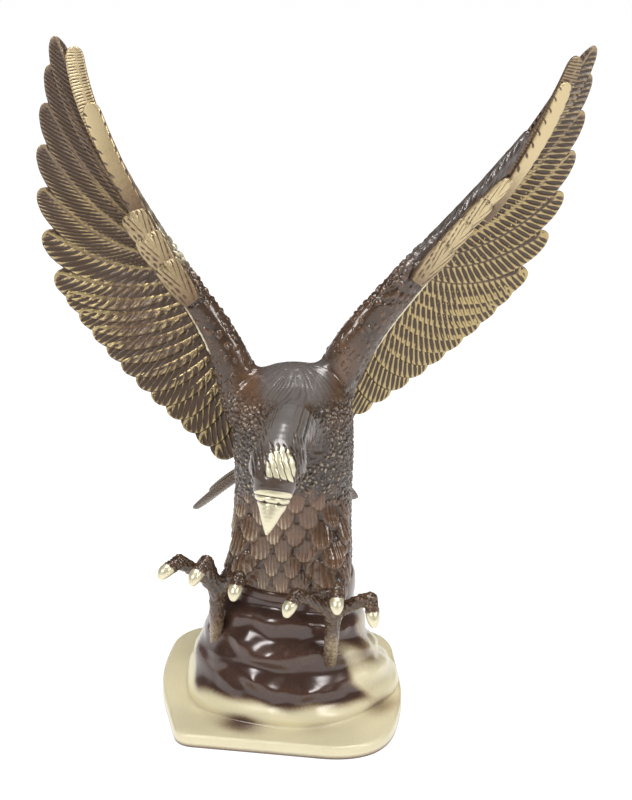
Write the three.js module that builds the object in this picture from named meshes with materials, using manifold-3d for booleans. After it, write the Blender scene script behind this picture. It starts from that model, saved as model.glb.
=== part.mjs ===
// A brass eagle figurine: wings raised, head bowed, both feet held out over a terraced rock plinth.
// Millimetres, +Z up. The eagle looks along -Y. The origin is on the plinth's underside, at its middle.
import * as THREE from "three";
import { LoftGeometry } from "three/addons/geometries/LoftGeometry.js";
import { mergeVertices } from "three/addons/utils/BufferGeometryUtils.js";
import Module from "manifold-3d";

// Driving dimensions of the plinth
const PLATE_THICKNESS = 6.5;
const PLATE_EDGE_ROUND = 1.6;
const PLATE_CORNERS = [
  { x: -51, y: -44, round: 7 },
  { x: 43, y: -60, round: 30 },
  { x: 53, y: -8, round: 16 },
  { x: 48, y: 60, round: 24 },
  { x: -56, y: 64, round: 24 },
  { x: -63, y: 10, round: 22 },
];
const ROCK_CENTRE = { x: 0, y: 8 };
const TERRACES = [
  { radius: 48.5, top: 13 },
  { radius: 44.5, top: 24 },
  { radius: 40, top: 36.5 },
  { radius: 35, top: 49 },
  { radius: 29.5, top: 66 },
];
const TERRACE_SLOPE = 3;
const LEDGE_ROUND = 2;
const SEAT_CLEARANCE = 0.3;
const FACET_TOLERANCE = 0.4;

// Driving dimensions of the eagle. Its pose and carving are in shares of its own height.
const EAGLE_HEIGHT = 240;
const WING_LENGTH = 170;
const WING_CHORD = 55;
const FLIGHT_FEATHERS = 18;
const PRIMARIES = 6;
const TAIL_LENGTH = 72;
const TAIL_FEATHERS = 7;
const TOE_RADIUS = 3.1;
const CLAW_RADIUS = 2.6;

// The eagle's own unit: its pose was measured on a figure of 240 mm above the rock
const UNIT = EAGLE_HEIGHT / 240;
const SEAT_HEIGHT = TERRACES[TERRACES.length - 1].top;

const COLOURS = { agedBrass: 0x5d4b3a, paleBrass: 0xb59a63 };

const wasm = await Module();
wasm.setup();

const radians = THREE.MathUtils.degToRad;
const mix = THREE.MathUtils.lerp;
const vector = (x, y, z) => new THREE.Vector3(x, y, z);

// A place on the eagle, from its seat on the rock, in the eagle's own units
function onEagle([x, y, z]) {
  return vector(x * UNIT, y * UNIT, SEAT_HEIGHT + z * UNIT);
}

// A closed solid from a geometry whose seams and caps share their places, faces turned outward
function solidFrom(geometry) {
  const bare = new THREE.BufferGeometry();
  bare.setAttribute("position", geometry.attributes.position);
  bare.setIndex(geometry.index);
  const merged = mergeVertices(bare, 1e-4);
  const vertProperties = merged.attributes.position.array;
  const triVerts = new Uint32Array(merged.index.array);
  const solid = new wasm.Manifold(new wasm.Mesh({ numProp: 3, vertProperties, triVerts }));
  if (solid.volume() > 0) return solid;
  return new wasm.Manifold(new wasm.Mesh({ numProp: 3, vertProperties, triVerts: triVerts.reverse() }));
}

function loft(sections) {
  return solidFrom(new LoftGeometry(sections, { capStart: true, capEnd: true }));
}

function joined(solids) {
  return solids.reduce((whole, solid) => whole.add(solid));
}

// The outer skin alone, so that pockets sealed between overlapping feathers are cast solid
function castSolid(solid) {
  return solid.decompose().reduce((most, shell) => (shell.volume() > most.volume() ? shell : most));
}

function meshOf(solid, name, colour, roughness) {
  const { vertProperties, triVerts } = solid.getMesh();
  const geometry = new THREE.BufferGeometry();
  geometry.setAttribute("position", new THREE.BufferAttribute(vertProperties, 3));
  geometry.setIndex(new THREE.BufferAttribute(triVerts, 1));
  const flat = geometry.toNonIndexed();
  flat.computeVertexNormals();
  const material = new THREE.MeshStandardMaterial({ color: colour, roughness, metalness: 0.9 });
  const mesh = new THREE.Mesh(flat, material);
  mesh.name = name;
  return mesh;
}

// An oval ring about a centre, square to a direction, with its first axis near the given side
function ring(centre, direction, side, halfWidth, halfDepth, sides) {
  const ahead = direction.clone().normalize();
  const across = side.clone().addScaledVector(ahead, -side.dot(ahead)).normalize();
  const up = ahead.clone().cross(across);
  return Array.from({ length: sides }, (_, i) => {
    const turn = (i / sides) * Math.PI * 2;
    return centre
      .clone()
      .addScaledVector(across, Math.cos(turn) * halfWidth)
      .addScaledVector(up, Math.sin(turn) * halfDepth);
  });
}

// A limb along a smooth curve through its joints; each joint gives a place and its half width and depth
function limb(joints, side, sides, rows) {
  const curve = new THREE.CatmullRomCurve3(joints.map((joint) => onEagle(joint.at)));
  const sections = [];
  for (let row = 0; row <= rows; row++) {
    const share = row / rows;
    const place = share * (joints.length - 1);
    const before = joints[Math.min(Math.floor(place), joints.length - 2)];
    const after = joints[Math.min(Math.floor(place), joints.length - 2) + 1];
    const part = place - Math.min(Math.floor(place), joints.length - 2);
    const halfWidth = mix(before.wide, after.wide, part) * UNIT;
    const halfDepth = mix(before.deep, after.deep, part) * UNIT;
    sections.push(ring(curve.getPoint(share), curve.getTangent(share), side, halfWidth, halfDepth, sides));
  }
  return loft(sections);
}

// The plinth: a flat plate under a terraced rock
function roundedPlate() {
  const corners = PLATE_CORNERS.map((corner) => new THREE.Vector2(corner.x, corner.y));
  const towards = (from, to, distance) => from.clone().add(to.clone().sub(from).setLength(distance));
  const outline = new THREE.Shape();
  corners.forEach((corner, i) => {
    const before = corners[(i + corners.length - 1) % corners.length];
    const after = corners[(i + 1) % corners.length];
    const start = towards(corner, before, PLATE_CORNERS[i].round);
    const end = towards(corner, after, PLATE_CORNERS[i].round);
    if (i === 0) outline.moveTo(start.x, start.y);
    else outline.lineTo(start.x, start.y);
    outline.quadraticCurveTo(corner.x, corner.y, end.x, end.y);
  });
  const plate = new THREE.ExtrudeGeometry(outline, {
    depth: PLATE_THICKNESS - 2 * PLATE_EDGE_ROUND,
    curveSegments: 7,
    bevelThickness: PLATE_EDGE_ROUND,
    bevelSize: PLATE_EDGE_ROUND,
    bevelOffset: -PLATE_EDGE_ROUND,
    bevelSegments: 2,
  });
  return solidFrom(plate.translate(0, 0, PLATE_EDGE_ROUND));
}

// The rock's outline in plan, as a share of a terrace's radius: broad uneven lobes that shift with height
function rockLobes(turn, height) {
  const climb = height / SEAT_HEIGHT;
  return 1 + 0.035 * Math.cos(2 * turn) + 0.018 * Math.cos(5 * turn + 2.4 * climb);
}

// Half profile of the rock, from the plate up: each terrace rises, rounds over and slopes to the next
function rockProfile(grow) {
  const profile = [];
  let foot = PLATE_THICKNESS / 2;
  TERRACES.forEach(({ radius, top }, i) => {
    const last = i === TERRACES.length - 1;
    profile.push({ radius: radius + grow, height: foot });
    if (last) {
      profile.push({ radius: radius - LEDGE_ROUND / 2 + grow, height: top });
      return;
    }
    profile.push({ radius: radius + grow, height: top - LEDGE_ROUND + grow });
    profile.push({ radius: radius - LEDGE_ROUND + grow, height: top + grow });
    foot = top + TERRACE_SLOPE + grow;
  });
  return profile;
}

function rock(grow) {
  const sides = 28;
  const sections = rockProfile(grow).map(({ radius, height }) =>
    Array.from({ length: sides }, (_, i) => {
      const turn = (i / sides) * Math.PI * 2;
      const reach = radius * rockLobes(turn, height);
      return vector(ROCK_CENTRE.x + Math.cos(turn) * reach, ROCK_CENTRE.y + Math.sin(turn) * reach, height);
    }),
  );
  return loft(sections);
}

// Height of the rock's surface over a place in plan
function rockHeightAt(x, y) {
  const [dx, dy] = [x - ROCK_CENTRE.x, y - ROCK_CENTRE.y];
  const reach = Math.hypot(dx, dy);
  const turn = Math.atan2(dy, dx);
  const profile = rockProfile(0);
  for (let i = profile.length - 1; i > 0; i--) {
    const [upper, lower] = [profile[i], profile[i - 1]];
    const outer = lower.radius * rockLobes(turn, lower.height);
    const inner = upper.radius * rockLobes(turn, upper.height);
    if (reach <= inner) return upper.height;
    if (reach <= outer) return mix(upper.height, lower.height, (reach - inner) / (outer - inner));
  }
  return PLATE_THICKNESS;
}

// The eagle's trunk, from its seat up to the back between the wings
const TRUNK = [
  { z: 0, x: 1, y: 4, wide: 27, deep: 27 },
  { z: 10, x: 1, y: 3, wide: 27.5, deep: 28 },
  { z: 24, x: 1.5, y: 1, wide: 26.5, deep: 28 },
  { z: 39, x: 2, y: -1, wide: 26, deep: 28 },
  { z: 56, x: 2, y: -3, wide: 26.5, deep: 27 },
  { z: 72, x: 2, y: -3, wide: 26.5, deep: 25 },
  { z: 86, x: 2, y: 0, wide: 25, deep: 21 },
  { z: 96, x: 2, y: 4, wide: 20, deep: 14 },
  { z: 101, x: 2, y: 6, wide: 11, deep: 6 },
];

function trunkAt(z) {
  const above = Math.max(1, TRUNK.findIndex((station) => station.z >= z));
  const [low, high] = [TRUNK[above - 1], TRUNK[above]];
  const part = (z - low.z) / (high.z - low.z);
  const blend = (key) => mix(low[key], high[key], part);
  return { x: blend("x"), y: blend("y"), wide: blend("wide"), deep: blend("deep") };
}

function trunk() {
  const sides = 18;
  return loft(
    TRUNK.map(({ z, x, y, wide, deep }) =>
      Array.from({ length: sides }, (_, i) => {
        const turn = (i / sides) * Math.PI * 2;
        return onEagle([x + Math.cos(turn) * wide, y + Math.sin(turn) * deep, z]);
      }),
    ),
  );
}

function neckAndHead() {
  const joints = [
    { at: [3, -2, 88], wide: 19, deep: 14 },
    { at: [3, -15, 88], wide: 17, deep: 14 },
    { at: [1, -30, 84], wide: 13.5, deep: 12.5 },
    { at: [-2, -43, 80], wide: 10, deep: 10.6 },
    { at: [-4, -53, 74.5], wide: 11, deep: 11.4 },
    { at: [-5.5, -59, 67.5], wide: 9.4, deep: 9.4 },
    { at: [-6, -62, 61], wide: 6.6, deep: 6.4 },
  ];
  return limb(joints, vector(1, 0, 0), 12, 10);
}

function beak() {
  const joints = [
    { at: [-5.8, -61, 65], wide: 6.7, deep: 6.6 },
    { at: [-6.6, -65, 59.5], wide: 5.5, deep: 5.2 },
    { at: [-7.6, -67.5, 54], wide: 3.1, deep: 3.5 },
    { at: [-8.4, -67.2, 49.5], wide: 0.9, deep: 1 },
  ];
  return limb(joints, vector(1, 0, 0), 10, 6);
}

// One blade, such as a flight feather: a curved vane with a raised shaft and a round tip
const BLADE_WIDTHS = [0.6, 0.9, 1, 0.82, 0.26];
const BLADE_STATIONS = [0, 0.33, 0.7, 0.91, 1];

function blade({ root, bend, tip, face, halfWidth, halfThickness }) {
  const shaft = new THREE.QuadraticBezierCurve3(root, bend, tip);
  return loft(
    BLADE_STATIONS.map((share, i) => {
      const centre = shaft.getPoint(share);
      const ahead = shaft.getTangent(share);
      const side = ahead.clone().cross(face).normalize();
      return ring(centre, ahead, side, halfWidth * BLADE_WIDTHS[i], halfThickness, 4);
    }),
  );
}

// Pose of each wing: the shoulder, then in degrees how far the wing spreads from upright, how far it
// leans back and how far its trailing edge sweeps back; then its size as a share of the drawn wing,
// how far its arm swells forward and how much of its chord is lost towards the trunk
const WINGS = [
  {
    hand: -1,
    shoulder: [-21.8, 5, 96],
    spread: 26.9,
    lean: 5,
    sweep: 0,
    size: 0.945,
    swell: -0.9,
    taper: 0.37,
  },
  {
    hand: 1,
    shoulder: [23.2, 5, 100],
    spread: 37.3,
    lean: 5,
    sweep: 33,
    size: 1,
    swell: 1.2,
    taper: 0.47,
  },
];
const WING_CAMBER = 4;
const SLAT_TILT = radians(-8);

// The wing's own frame: span from the shoulder to the tip, chord to the trailing edge, face to the front
function wingFrame({ hand, shoulder, spread, lean, sweep, size, swell, taper }) {
  const [s, l, w] = [radians(spread), radians(lean), radians(sweep)];
  const span = vector(hand * Math.sin(s) * Math.cos(l), Math.sin(l), Math.cos(s) * Math.cos(l));
  const flatChord = vector(hand * Math.cos(s), 0, -Math.sin(s));
  const flatFace = span.clone().cross(flatChord).multiplyScalar(-hand);
  const chord = flatChord.clone().multiplyScalar(Math.cos(w)).addScaledVector(flatFace, -Math.sin(w));
  const face = flatFace.clone().multiplyScalar(Math.cos(w)).addScaledVector(flatChord, Math.sin(w));
  const origin = onEagle(shoulder);
  const unit = UNIT * size;
  const place = (a, b, lift = 0) =>
    origin
      .clone()
      .addScaledVector(span, a * unit)
      .addScaledVector(chord, b * unit)
      .addScaledVector(face, (lift + WING_CAMBER * (b / WING_CHORD) ** 2) * unit);
  return { hand, swell, taper, unit, chord, face, place };
}

// The trailing outline: chord reach at a distance along the span, widest before the primaries
const WIDEST_SPAN = WING_LENGTH * 0.47;
function trailingEdge(a, taper) {
  const inner = (Math.max(WIDEST_SPAN - a, 0) / (WING_LENGTH * 0.58)) ** 1.7;
  const outer = (Math.max(a - WIDEST_SPAN, 0) / (WING_LENGTH * 0.55)) ** 1.5;
  return WING_CHORD * (1 - taper * inner - 0.91 * outer);
}

// Flight feather i: the primaries fan towards the wing tip, the secondaries follow evenly
const SECONDARY_PITCH = WING_LENGTH * 0.0606;
function feather(i, taper) {
  const fan = 1 - (Math.min(i / PRIMARIES, 1)) ** 1.25;
  const reach = WING_LENGTH * 1.03 - WIDEST_SPAN;
  const tipA = WIDEST_SPAN + reach * fan - SECONDARY_PITCH * Math.max(i - PRIMARIES, 0);
  const tipB = trailingEdge(tipA, taper);
  const rootA = WING_LENGTH * (0.49 - 0.032 * i);
  const rootB = 6;
  const bow = Math.min(0.05 + 0.02 * i, 0.12) - Math.max(i - PRIMARIES - 2, 0) * 0.008;
  const [alongSpan, alongChord] = [tipA - rootA, tipB - rootB];
  const bendA = (rootA + tipA) / 2 - alongChord * bow * 2;
  const bendB = (rootB + tipB) / 2 + alongSpan * bow * 2;
  const halfWidth = i <= PRIMARIES ? 6 + 0.4 * i : 7.6;
  return { root: [rootA, rootB], bend: [bendA, bendB], tip: [tipA, tipB], halfWidth };
}

function flightFeather(frame, i) {
  const { root, bend, tip, halfWidth } = feather(i, frame.taper);
  const lift = i * -0.04;
  const points = [root, bend, tip].map(([a, b]) => frame.place(a, b, lift));
  const run = points[2].clone().sub(points[0]).normalize();
  const face = frame.face.clone().applyAxisAngle(run, SLAT_TILT * frame.hand);
  return blade({
    root: points[0],
    bend: points[1],
    tip: points[2],
    face,
    halfWidth: halfWidth * frame.unit,
    halfThickness: 1.3 * frame.unit,
  });
}

// Long leading feathers that end in steps along the front edge, the nearest one last
const LEADING_FINGERS = [
  { root: [96, 6], bend: [142, 9], tip: [167, -2.5], halfWidth: 4.6, lift: 1.6 },
  { root: [72, 5], bend: [114, 8], tip: [142, 3], halfWidth: 4.3, lift: 3.8 },
];

// Short covert plates over the front of the arm, from the wrist down
const COVERTS = [
  { root: [70, 8], tip: [90, 9.5], halfWidth: 6.6 },
  { root: [57, 6.5], tip: [77, 8.5], halfWidth: 6.8 },
  { root: [42, 4], tip: [62, 6.5], halfWidth: 6.4 },
];

function overlay(frame, { root, bend, tip, halfWidth, lift = 5.2 }) {
  const middle = bend ?? [(root[0] + tip[0]) / 2, (root[1] + tip[1]) / 2];
  return blade({
    root: frame.place(root[0], root[1], lift),
    bend: frame.place(middle[0], middle[1], lift),
    tip: frame.place(tip[0], tip[1], lift),
    face: frame.face,
    halfWidth: halfWidth * frame.unit,
    halfThickness: 1.9 * frame.unit,
  });
}

// The arm: a thick bar along the leading edge, from inside the shoulder to beyond the wrist
const ARM = [
  { a: -16, b: 6, wide: 10, deep: 9 },
  { a: 4, b: 1.5, wide: 10.2, deep: 8 },
  { a: 24, b: 0.5, wide: 8.8, deep: 6.6 },
  { a: 48, b: 2.5, wide: 7.7, deep: 5.8 },
  { a: 72, b: 5, wide: 6.6, deep: 5 },
  { a: 100, b: 6, wide: 4.8, deep: 3.8 },
  { a: 128, b: 5.5, wide: 3.2, deep: 2.6 },
];

function arm(frame) {
  const swells = ARM.map((_, i) => frame.swell * Math.sin((i / (ARM.length - 1)) * Math.PI));
  const centres = new THREE.CatmullRomCurve3(ARM.map(({ a, b }, i) => frame.place(a, b - swells[i])));
  return loft(
    ARM.map(({ wide, deep }, i) => {
      const share = i / (ARM.length - 1);
      const [centre, ahead] = [centres.getPoint(share), centres.getTangent(share)];
      return ring(centre, ahead, frame.chord, (wide + swells[i]) * frame.unit, deep * frame.unit, 10);
    }),
  );
}

function wing(pose) {
  const frame = wingFrame(pose);
  const solids = [arm(frame)];
  for (let i = 0; i < FLIGHT_FEATHERS; i++) solids.push(flightFeather(frame, i));
  LEADING_FINGERS.forEach((finger) => solids.push(overlay(frame, finger)));
  COVERTS.forEach((covert) => solids.push(overlay(frame, covert)));
  return joined(solids);
}

// The tail: a fan behind the trunk, turned a little aside, that arches down to both sides
const TAIL = { root: [-2, 22, 52], rootSpread: 8, yaw: 9, drop: 31, arch: 24, halfFan: 30 };

function tail() {
  const [yaw, drop, arch] = [radians(TAIL.yaw), radians(TAIL.drop), radians(TAIL.arch)];
  const back = vector(-Math.sin(yaw) * Math.cos(drop), Math.cos(yaw) * Math.cos(drop), -Math.sin(drop));
  const level = vector(-Math.cos(yaw), -Math.sin(yaw), 0);
  const up = back.clone().cross(level);
  const solids = [];
  for (let i = 0; i < TAIL_FEATHERS; i++) {
    const share = (i / (TAIL_FEATHERS - 1)) * 2 - 1;
    const fan = radians(Math.abs(share) * TAIL.halfFan);
    const outward = level.clone().multiplyScalar(Math.sign(share) * Math.cos(arch));
    outward.addScaledVector(up, -Math.sin(arch));
    const root = onEagle(TAIL.root).addScaledVector(outward, Math.abs(share) * TAIL.rootSpread * UNIT);
    const run = back.clone().multiplyScalar(Math.cos(fan)).addScaledVector(outward, Math.sin(fan));
    const tip = root.clone().addScaledVector(run, TAIL_LENGTH * UNIT);
    const face = up.clone().applyAxisAngle(back, -arch * share);
    const bend = root.clone().lerp(tip, 0.5).addScaledVector(face, 2.5 * UNIT);
    solids.push(blade({ root, bend, tip, face, halfWidth: 7.2 * UNIT, halfThickness: 1.9 * UNIT }));
  }
  const rump = [
    { at: [1, 8, 60], wide: 19, deep: 16 },
    { at: [-2, 27, 49], wide: 15, deep: 9 },
    { at: [-5, 43, 42], wide: 14, deep: 2.8 },
  ];
  solids.push(limb(rump, vector(1, 0, 0), 12, 4));
  return joined(solids);
}

// Each leg: a feathered thigh down to a hub, three raised toes with claws and a hind toe set on the rock
const LEGS = [
  {
    hub: [-32.5, -20, 0.8],
    thigh: [
      { at: [-12, -8, 38], wide: 12, deep: 13 },
      { at: [-17.5, -15, 18], wide: 9.5, deep: 10 },
      { at: [-24, -19, 7.5], wide: 6, deep: 6.4 },
      { at: [-32.5, -20, 0.5], wide: 3.4, deep: 3.6 },
    ],
    toes: [
      { knuckle: [-48.5, -27, 17.6], claw: [-56, -33, 13.6] },
      { knuckle: [-36.6, -29.5, 18.4], claw: [-42, -38, 13] },
      { knuckle: [-22.5, -27, 9.6], claw: [-24.4, -34, 3.6] },
    ],
    hindToe: [-34, -8],
  },
  {
    hub: [19.5, -36, -4],
    thigh: [
      { at: [14, -12, 38], wide: 12, deep: 13 },
      { at: [18, -24, 18], wide: 9.5, deep: 9.5 },
      { at: [19.5, -31, 5], wide: 6, deep: 6.4 },
      { at: [19.5, -36, -5], wide: 3.8, deep: 4 },
    ],
    toes: [
      { knuckle: [3.4, -44, 9.6], claw: [-0.6, -50, 3.6] },
      { knuckle: [21, -46, 12.6], claw: [21, -53.5, 6.8] },
      { knuckle: [35.8, -42, 6.6], claw: [37.2, -47.5, -2.6] },
    ],
    hindToe: [18.3, -24.5],
  },
];

function toe(hub, { knuckle, claw }) {
  const arch = knuckle.map((value, axis) => mix(hub[axis], value, 0.55) + (axis === 2 ? 1.4 : 0));
  const inClaw = knuckle.map((value, axis) => mix(value, claw[axis], 0.35) + (axis === 2 ? 0.6 : 0));
  const nearTip = knuckle.map((value, axis) => mix(value, claw[axis], 0.75) + (axis === 2 ? 0.8 : 0));
  const even = (at, radius) => ({ at, wide: radius, deep: radius });
  const bone = [
    even(hub, TOE_RADIUS),
    even(arch, TOE_RADIUS * 0.96),
    even(knuckle, TOE_RADIUS * 1.12),
    even(inClaw, TOE_RADIUS * 0.9),
  ];
  const nail = [even(knuckle, CLAW_RADIUS * 0.8), even(nearTip, CLAW_RADIUS), even(claw, CLAW_RADIUS * 0.45)];
  return joined([limb(bone, vector(0, 1, 0.2), 8, 4), limb(nail, vector(1, 0, 0), 7, 3)]);
}

function hindToe(hub, [x, y]) {
  const rockTop = (rockHeightAt(x * UNIT, y * UNIT) - SEAT_HEIGHT) / UNIT;
  const even = (at, radius) => ({ at, wide: radius, deep: radius });
  const foot = [x, y, rockTop - 2];
  const middle = [mix(hub[0], x, 0.5), mix(hub[1], y, 0.35), mix(hub[2], rockTop, 0.5)];
  const bone = [even(hub, TOE_RADIUS * 1.2), even(middle, TOE_RADIUS * 1.1), even(foot, TOE_RADIUS)];
  return limb(bone, vector(1, 0, 0), 8, 4);
}

function leg({ hub, thigh, toes, hindToe: foot }) {
  return joined([
    limb(thigh, vector(1, 0, 0), 8, 5),
    ...toes.map((one) => toe(hub, one)),
    hindToe(hub, foot),
  ]);
}

// Rows of round-ended scale feathers down the belly, each row half a step round from the last
const BELLY = { rows: 4, top: 36, pitch: 8.6, across: 5, step: 16 };

function bellyScales() {
  const solids = [];
  for (let row = 0; row < BELLY.rows; row++) {
    const z = BELLY.top - row * BELLY.pitch;
    for (let column = 0; column < BELLY.across; column++) {
      const turn = radians(-90 + (column - (BELLY.across - 1) / 2 + (row % 2 ? 0.5 : 0)) * BELLY.step);
      const [high, low] = [trunkAt(z), trunkAt(z - BELLY.pitch * 1.1)];
      const skin = (at, height, proud) =>
        onEagle([
          at.x + Math.cos(turn) * (at.wide + proud),
          at.y + Math.sin(turn) * (at.deep + proud),
          height,
        ]);
      const root = skin(high, z, -1.2);
      const tip = skin(low, z - BELLY.pitch * 1.1, 0.9);
      const face = vector(Math.cos(turn), Math.sin(turn), 0);
      const bend = root.clone().lerp(tip, 0.5);
      solids.push(blade({ root, bend, tip, face, halfWidth: 4.6 * UNIT, halfThickness: UNIT }));
    }
  }
  return joined(solids);
}

function eagle() {
  const solids = [trunk(), neckAndHead(), beak(), tail(), bellyScales()];
  WINGS.forEach((pose) => solids.push(wing(pose)));
  LEGS.forEach((one) => solids.push(leg(one)));
  return castSolid(joined(solids).subtract(rock(SEAT_CLEARANCE)).simplify(FACET_TOLERANCE));
}

const figurine = new THREE.Group();
figurine.name = "eagle_figurine";
figurine.add(meshOf(eagle(), "eagle", COLOURS.agedBrass, 0.35));
figurine.add(meshOf(roundedPlate().add(rock(0)), "rock_plinth", COLOURS.paleBrass, 0.3));

export default figurine;
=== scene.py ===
"""A cast brass eagle with raised wings over a terraced rock plinth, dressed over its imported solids.

Places inside the classes are in millimetres, in the frame of the solids; meshes are made in metres.
"""

from __future__ import annotations

import logging
import math
from dataclasses import dataclass
from enum import Enum
from itertools import product
from typing import Callable, Iterable, Iterator, Sequence

import bpy
import numpy as np
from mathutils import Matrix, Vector


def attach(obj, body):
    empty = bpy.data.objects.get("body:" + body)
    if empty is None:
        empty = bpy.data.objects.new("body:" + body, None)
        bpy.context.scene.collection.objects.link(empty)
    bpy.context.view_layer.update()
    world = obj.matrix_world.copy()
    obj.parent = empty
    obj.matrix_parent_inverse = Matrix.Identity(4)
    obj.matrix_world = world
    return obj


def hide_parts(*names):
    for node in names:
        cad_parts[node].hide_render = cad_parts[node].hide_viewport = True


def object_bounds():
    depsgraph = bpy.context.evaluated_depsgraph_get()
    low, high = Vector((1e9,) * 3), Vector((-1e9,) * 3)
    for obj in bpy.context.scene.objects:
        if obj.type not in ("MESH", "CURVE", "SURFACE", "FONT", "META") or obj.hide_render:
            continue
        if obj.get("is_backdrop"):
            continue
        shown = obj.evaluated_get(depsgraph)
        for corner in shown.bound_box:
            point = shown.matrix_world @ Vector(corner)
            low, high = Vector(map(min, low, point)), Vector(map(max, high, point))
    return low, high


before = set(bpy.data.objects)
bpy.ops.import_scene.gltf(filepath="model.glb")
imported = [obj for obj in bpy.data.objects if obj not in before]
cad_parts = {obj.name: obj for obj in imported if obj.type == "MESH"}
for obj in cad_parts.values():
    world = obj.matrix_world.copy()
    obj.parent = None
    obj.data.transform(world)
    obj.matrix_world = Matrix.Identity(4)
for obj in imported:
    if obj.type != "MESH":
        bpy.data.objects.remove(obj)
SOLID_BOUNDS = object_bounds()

LOG = logging.getLogger("eagle")
MM = 0.001
SEAT = 66.0
BODY = "root"
Vec = tuple[float, float, float]


class Hand(Enum):
    """The wing at the left or the right of the photograph."""

    LEFT = -1
    RIGHT = 1


# ---------------------------------------------------------------- node helpers


class Value:
    """A number or vector in a node tree, which makes Math nodes as it is worked with."""

    def __init__(self, tree: bpy.types.NodeTree, socket: bpy.types.NodeSocket | float) -> None:
        """Wraps an output socket or a plain number.

        Args:
            tree: the tree the nodes are made in.
            socket: the output socket, or a number.
        """
        self.tree = tree
        self.socket = socket

    def feed(self, target: bpy.types.NodeSocket) -> None:
        """Links the value to an input, or sets it there if it is a plain number.

        Args:
            target: the input socket.
        """
        if isinstance(self.socket, (int, float)):
            target.default_value = self.socket
        else:
            self.tree.links.new(self.socket, target)

    def wrap(self, other: "Value | float") -> "Value":
        """Returns the other operand as a Value."""
        return other if isinstance(other, Value) else Value(self.tree, other)

    def math(self, operation: str, *others: "Value | float") -> "Value":
        """Makes one Math node.

        Args:
            operation: the node's operation.
            others: the further operands.

        Returns:
            The node's result.
        """
        node = self.tree.nodes.new("ShaderNodeMath")
        node.operation = operation
        for socket, operand in zip(node.inputs, (self, *others)):
            self.wrap(operand).feed(socket)
        return Value(self.tree, node.outputs[0])

    def __add__(self, other: "Value | float") -> "Value":
        """Returns the sum."""
        return self.math("ADD", other)

    def __sub__(self, other: "Value | float") -> "Value":
        """Returns the difference."""
        return self.math("SUBTRACT", other)

    def __rsub__(self, other: float) -> "Value":
        """Returns a number less this value."""
        return self.wrap(other).math("SUBTRACT", self)

    def __mul__(self, other: "Value | float") -> "Value":
        """Returns the product."""
        return self.math("MULTIPLY", other)

    def __truediv__(self, other: "Value | float") -> "Value":
        """Returns the quotient."""
        return self.math("DIVIDE", other)

    __radd__ = __add__
    __rmul__ = __mul__

    def power(self, exponent: float) -> "Value":
        """Returns the value raised to a power."""
        return self.math("POWER", exponent)

    def size(self) -> "Value":
        """Returns the value without its sign."""
        return self.math("ABSOLUTE")

    def least(self, other: "Value | float") -> "Value":
        """Returns the smaller of two values."""
        return self.math("MINIMUM", other)

    def most(self, other: "Value | float") -> "Value":
        """Returns the larger of two values."""
        return self.math("MAXIMUM", other)

    def held(self) -> "Value":
        """Returns the value held between 0 and 1."""
        return self.most(0.0).least(1.0)

    def bell(self, width: float) -> "Value":
        """Returns a bump of height 1 at zero.

        Args:
            width: how far from zero the bump has fallen to about a third.

        Returns:
            The bump.
        """
        scaled = self * (1 / width)
        return (scaled * scaled * -1.0).math("EXPONENT")

    def ease(self, low: float, high: float) -> "Value":
        """Returns a smooth step from 0 at low to 1 at high.

        Args:
            low: where the step starts.
            high: where it ends.

        Returns:
            The step.
        """
        node = self.tree.nodes.new("ShaderNodeMapRange")
        node.interpolation_type = "SMOOTHSTEP"
        self.feed(node.inputs["Value"])
        node.inputs["From Min"].default_value = low
        node.inputs["From Max"].default_value = high
        return Value(self.tree, node.outputs[0])


class Arrow:
    """A vector in a node tree, which makes Vector Math nodes as it is worked with."""

    def __init__(self, tree: bpy.types.NodeTree, socket: bpy.types.NodeSocket) -> None:
        """Wraps a vector output.

        Args:
            tree: the tree the nodes are made in.
            socket: the output socket.
        """
        self.tree = tree
        self.socket = socket

    def math(self, operation: str, *others: "Arrow") -> bpy.types.Node:
        """Makes one Vector Math node over this vector and others.

        Args:
            operation: the node's operation.
            others: the further vectors.

        Returns:
            The node.
        """
        node = self.tree.nodes.new("ShaderNodeVectorMath")
        node.operation = operation
        for socket, operand in zip(node.inputs, (self, *others)):
            self.tree.links.new(operand.socket, socket)
        return node

    def __add__(self, other: "Arrow") -> "Arrow":
        """Returns the sum."""
        return Arrow(self.tree, self.math("ADD", other).outputs[0])

    def __sub__(self, other: "Arrow") -> "Arrow":
        """Returns the difference."""
        return Arrow(self.tree, self.math("SUBTRACT", other).outputs[0])

    def __mul__(self, amount: Value | float) -> "Arrow":
        """Returns the vector scaled by a value.

        Args:
            amount: the value to scale by.

        Returns:
            The scaled vector.
        """
        node = self.math("SCALE")
        Value(self.tree, 0.0).wrap(amount).feed(node.inputs["Scale"])
        return Arrow(self.tree, node.outputs[0])

    def cross(self, other: "Arrow") -> "Arrow":
        """Returns the cross product."""
        return Arrow(self.tree, self.math("CROSS_PRODUCT", other).outputs[0])

    def unit(self) -> "Arrow":
        """Returns the vector at length 1."""
        return Arrow(self.tree, self.math("NORMALIZE").outputs[0])


# ---------------------------------------------------------------- feathers by Geometry Nodes


@dataclass(frozen=True)
class Feather:
    """One carved feather: where its shaft runs and how it is cut. Lengths are in millimetres."""

    root: Vec
    bend: Vec
    tip: Vec
    face: Vec
    half_width: float
    half_thickness: float = 1.2
    pitch: float = 2.5
    depth: float = 0.6
    slant: float = 0.8
    shaft: float = 0.2
    polish: float = 0.8
    blunt: float = 0.0
    share: float = 0.62
    start: float = 0.1
    spine: float = 1.0
    fade: float = 0.12
    step: float = 0.46
    columns: int = 24

    @property
    def length(self) -> float:
        """The shaft's length, nearly."""
        root, bend, tip = (Vector(p) for p in (self.root, self.bend, self.tip))
        return ((bend - root).length + (tip - bend).length + (tip - root).length) / 2


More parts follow.
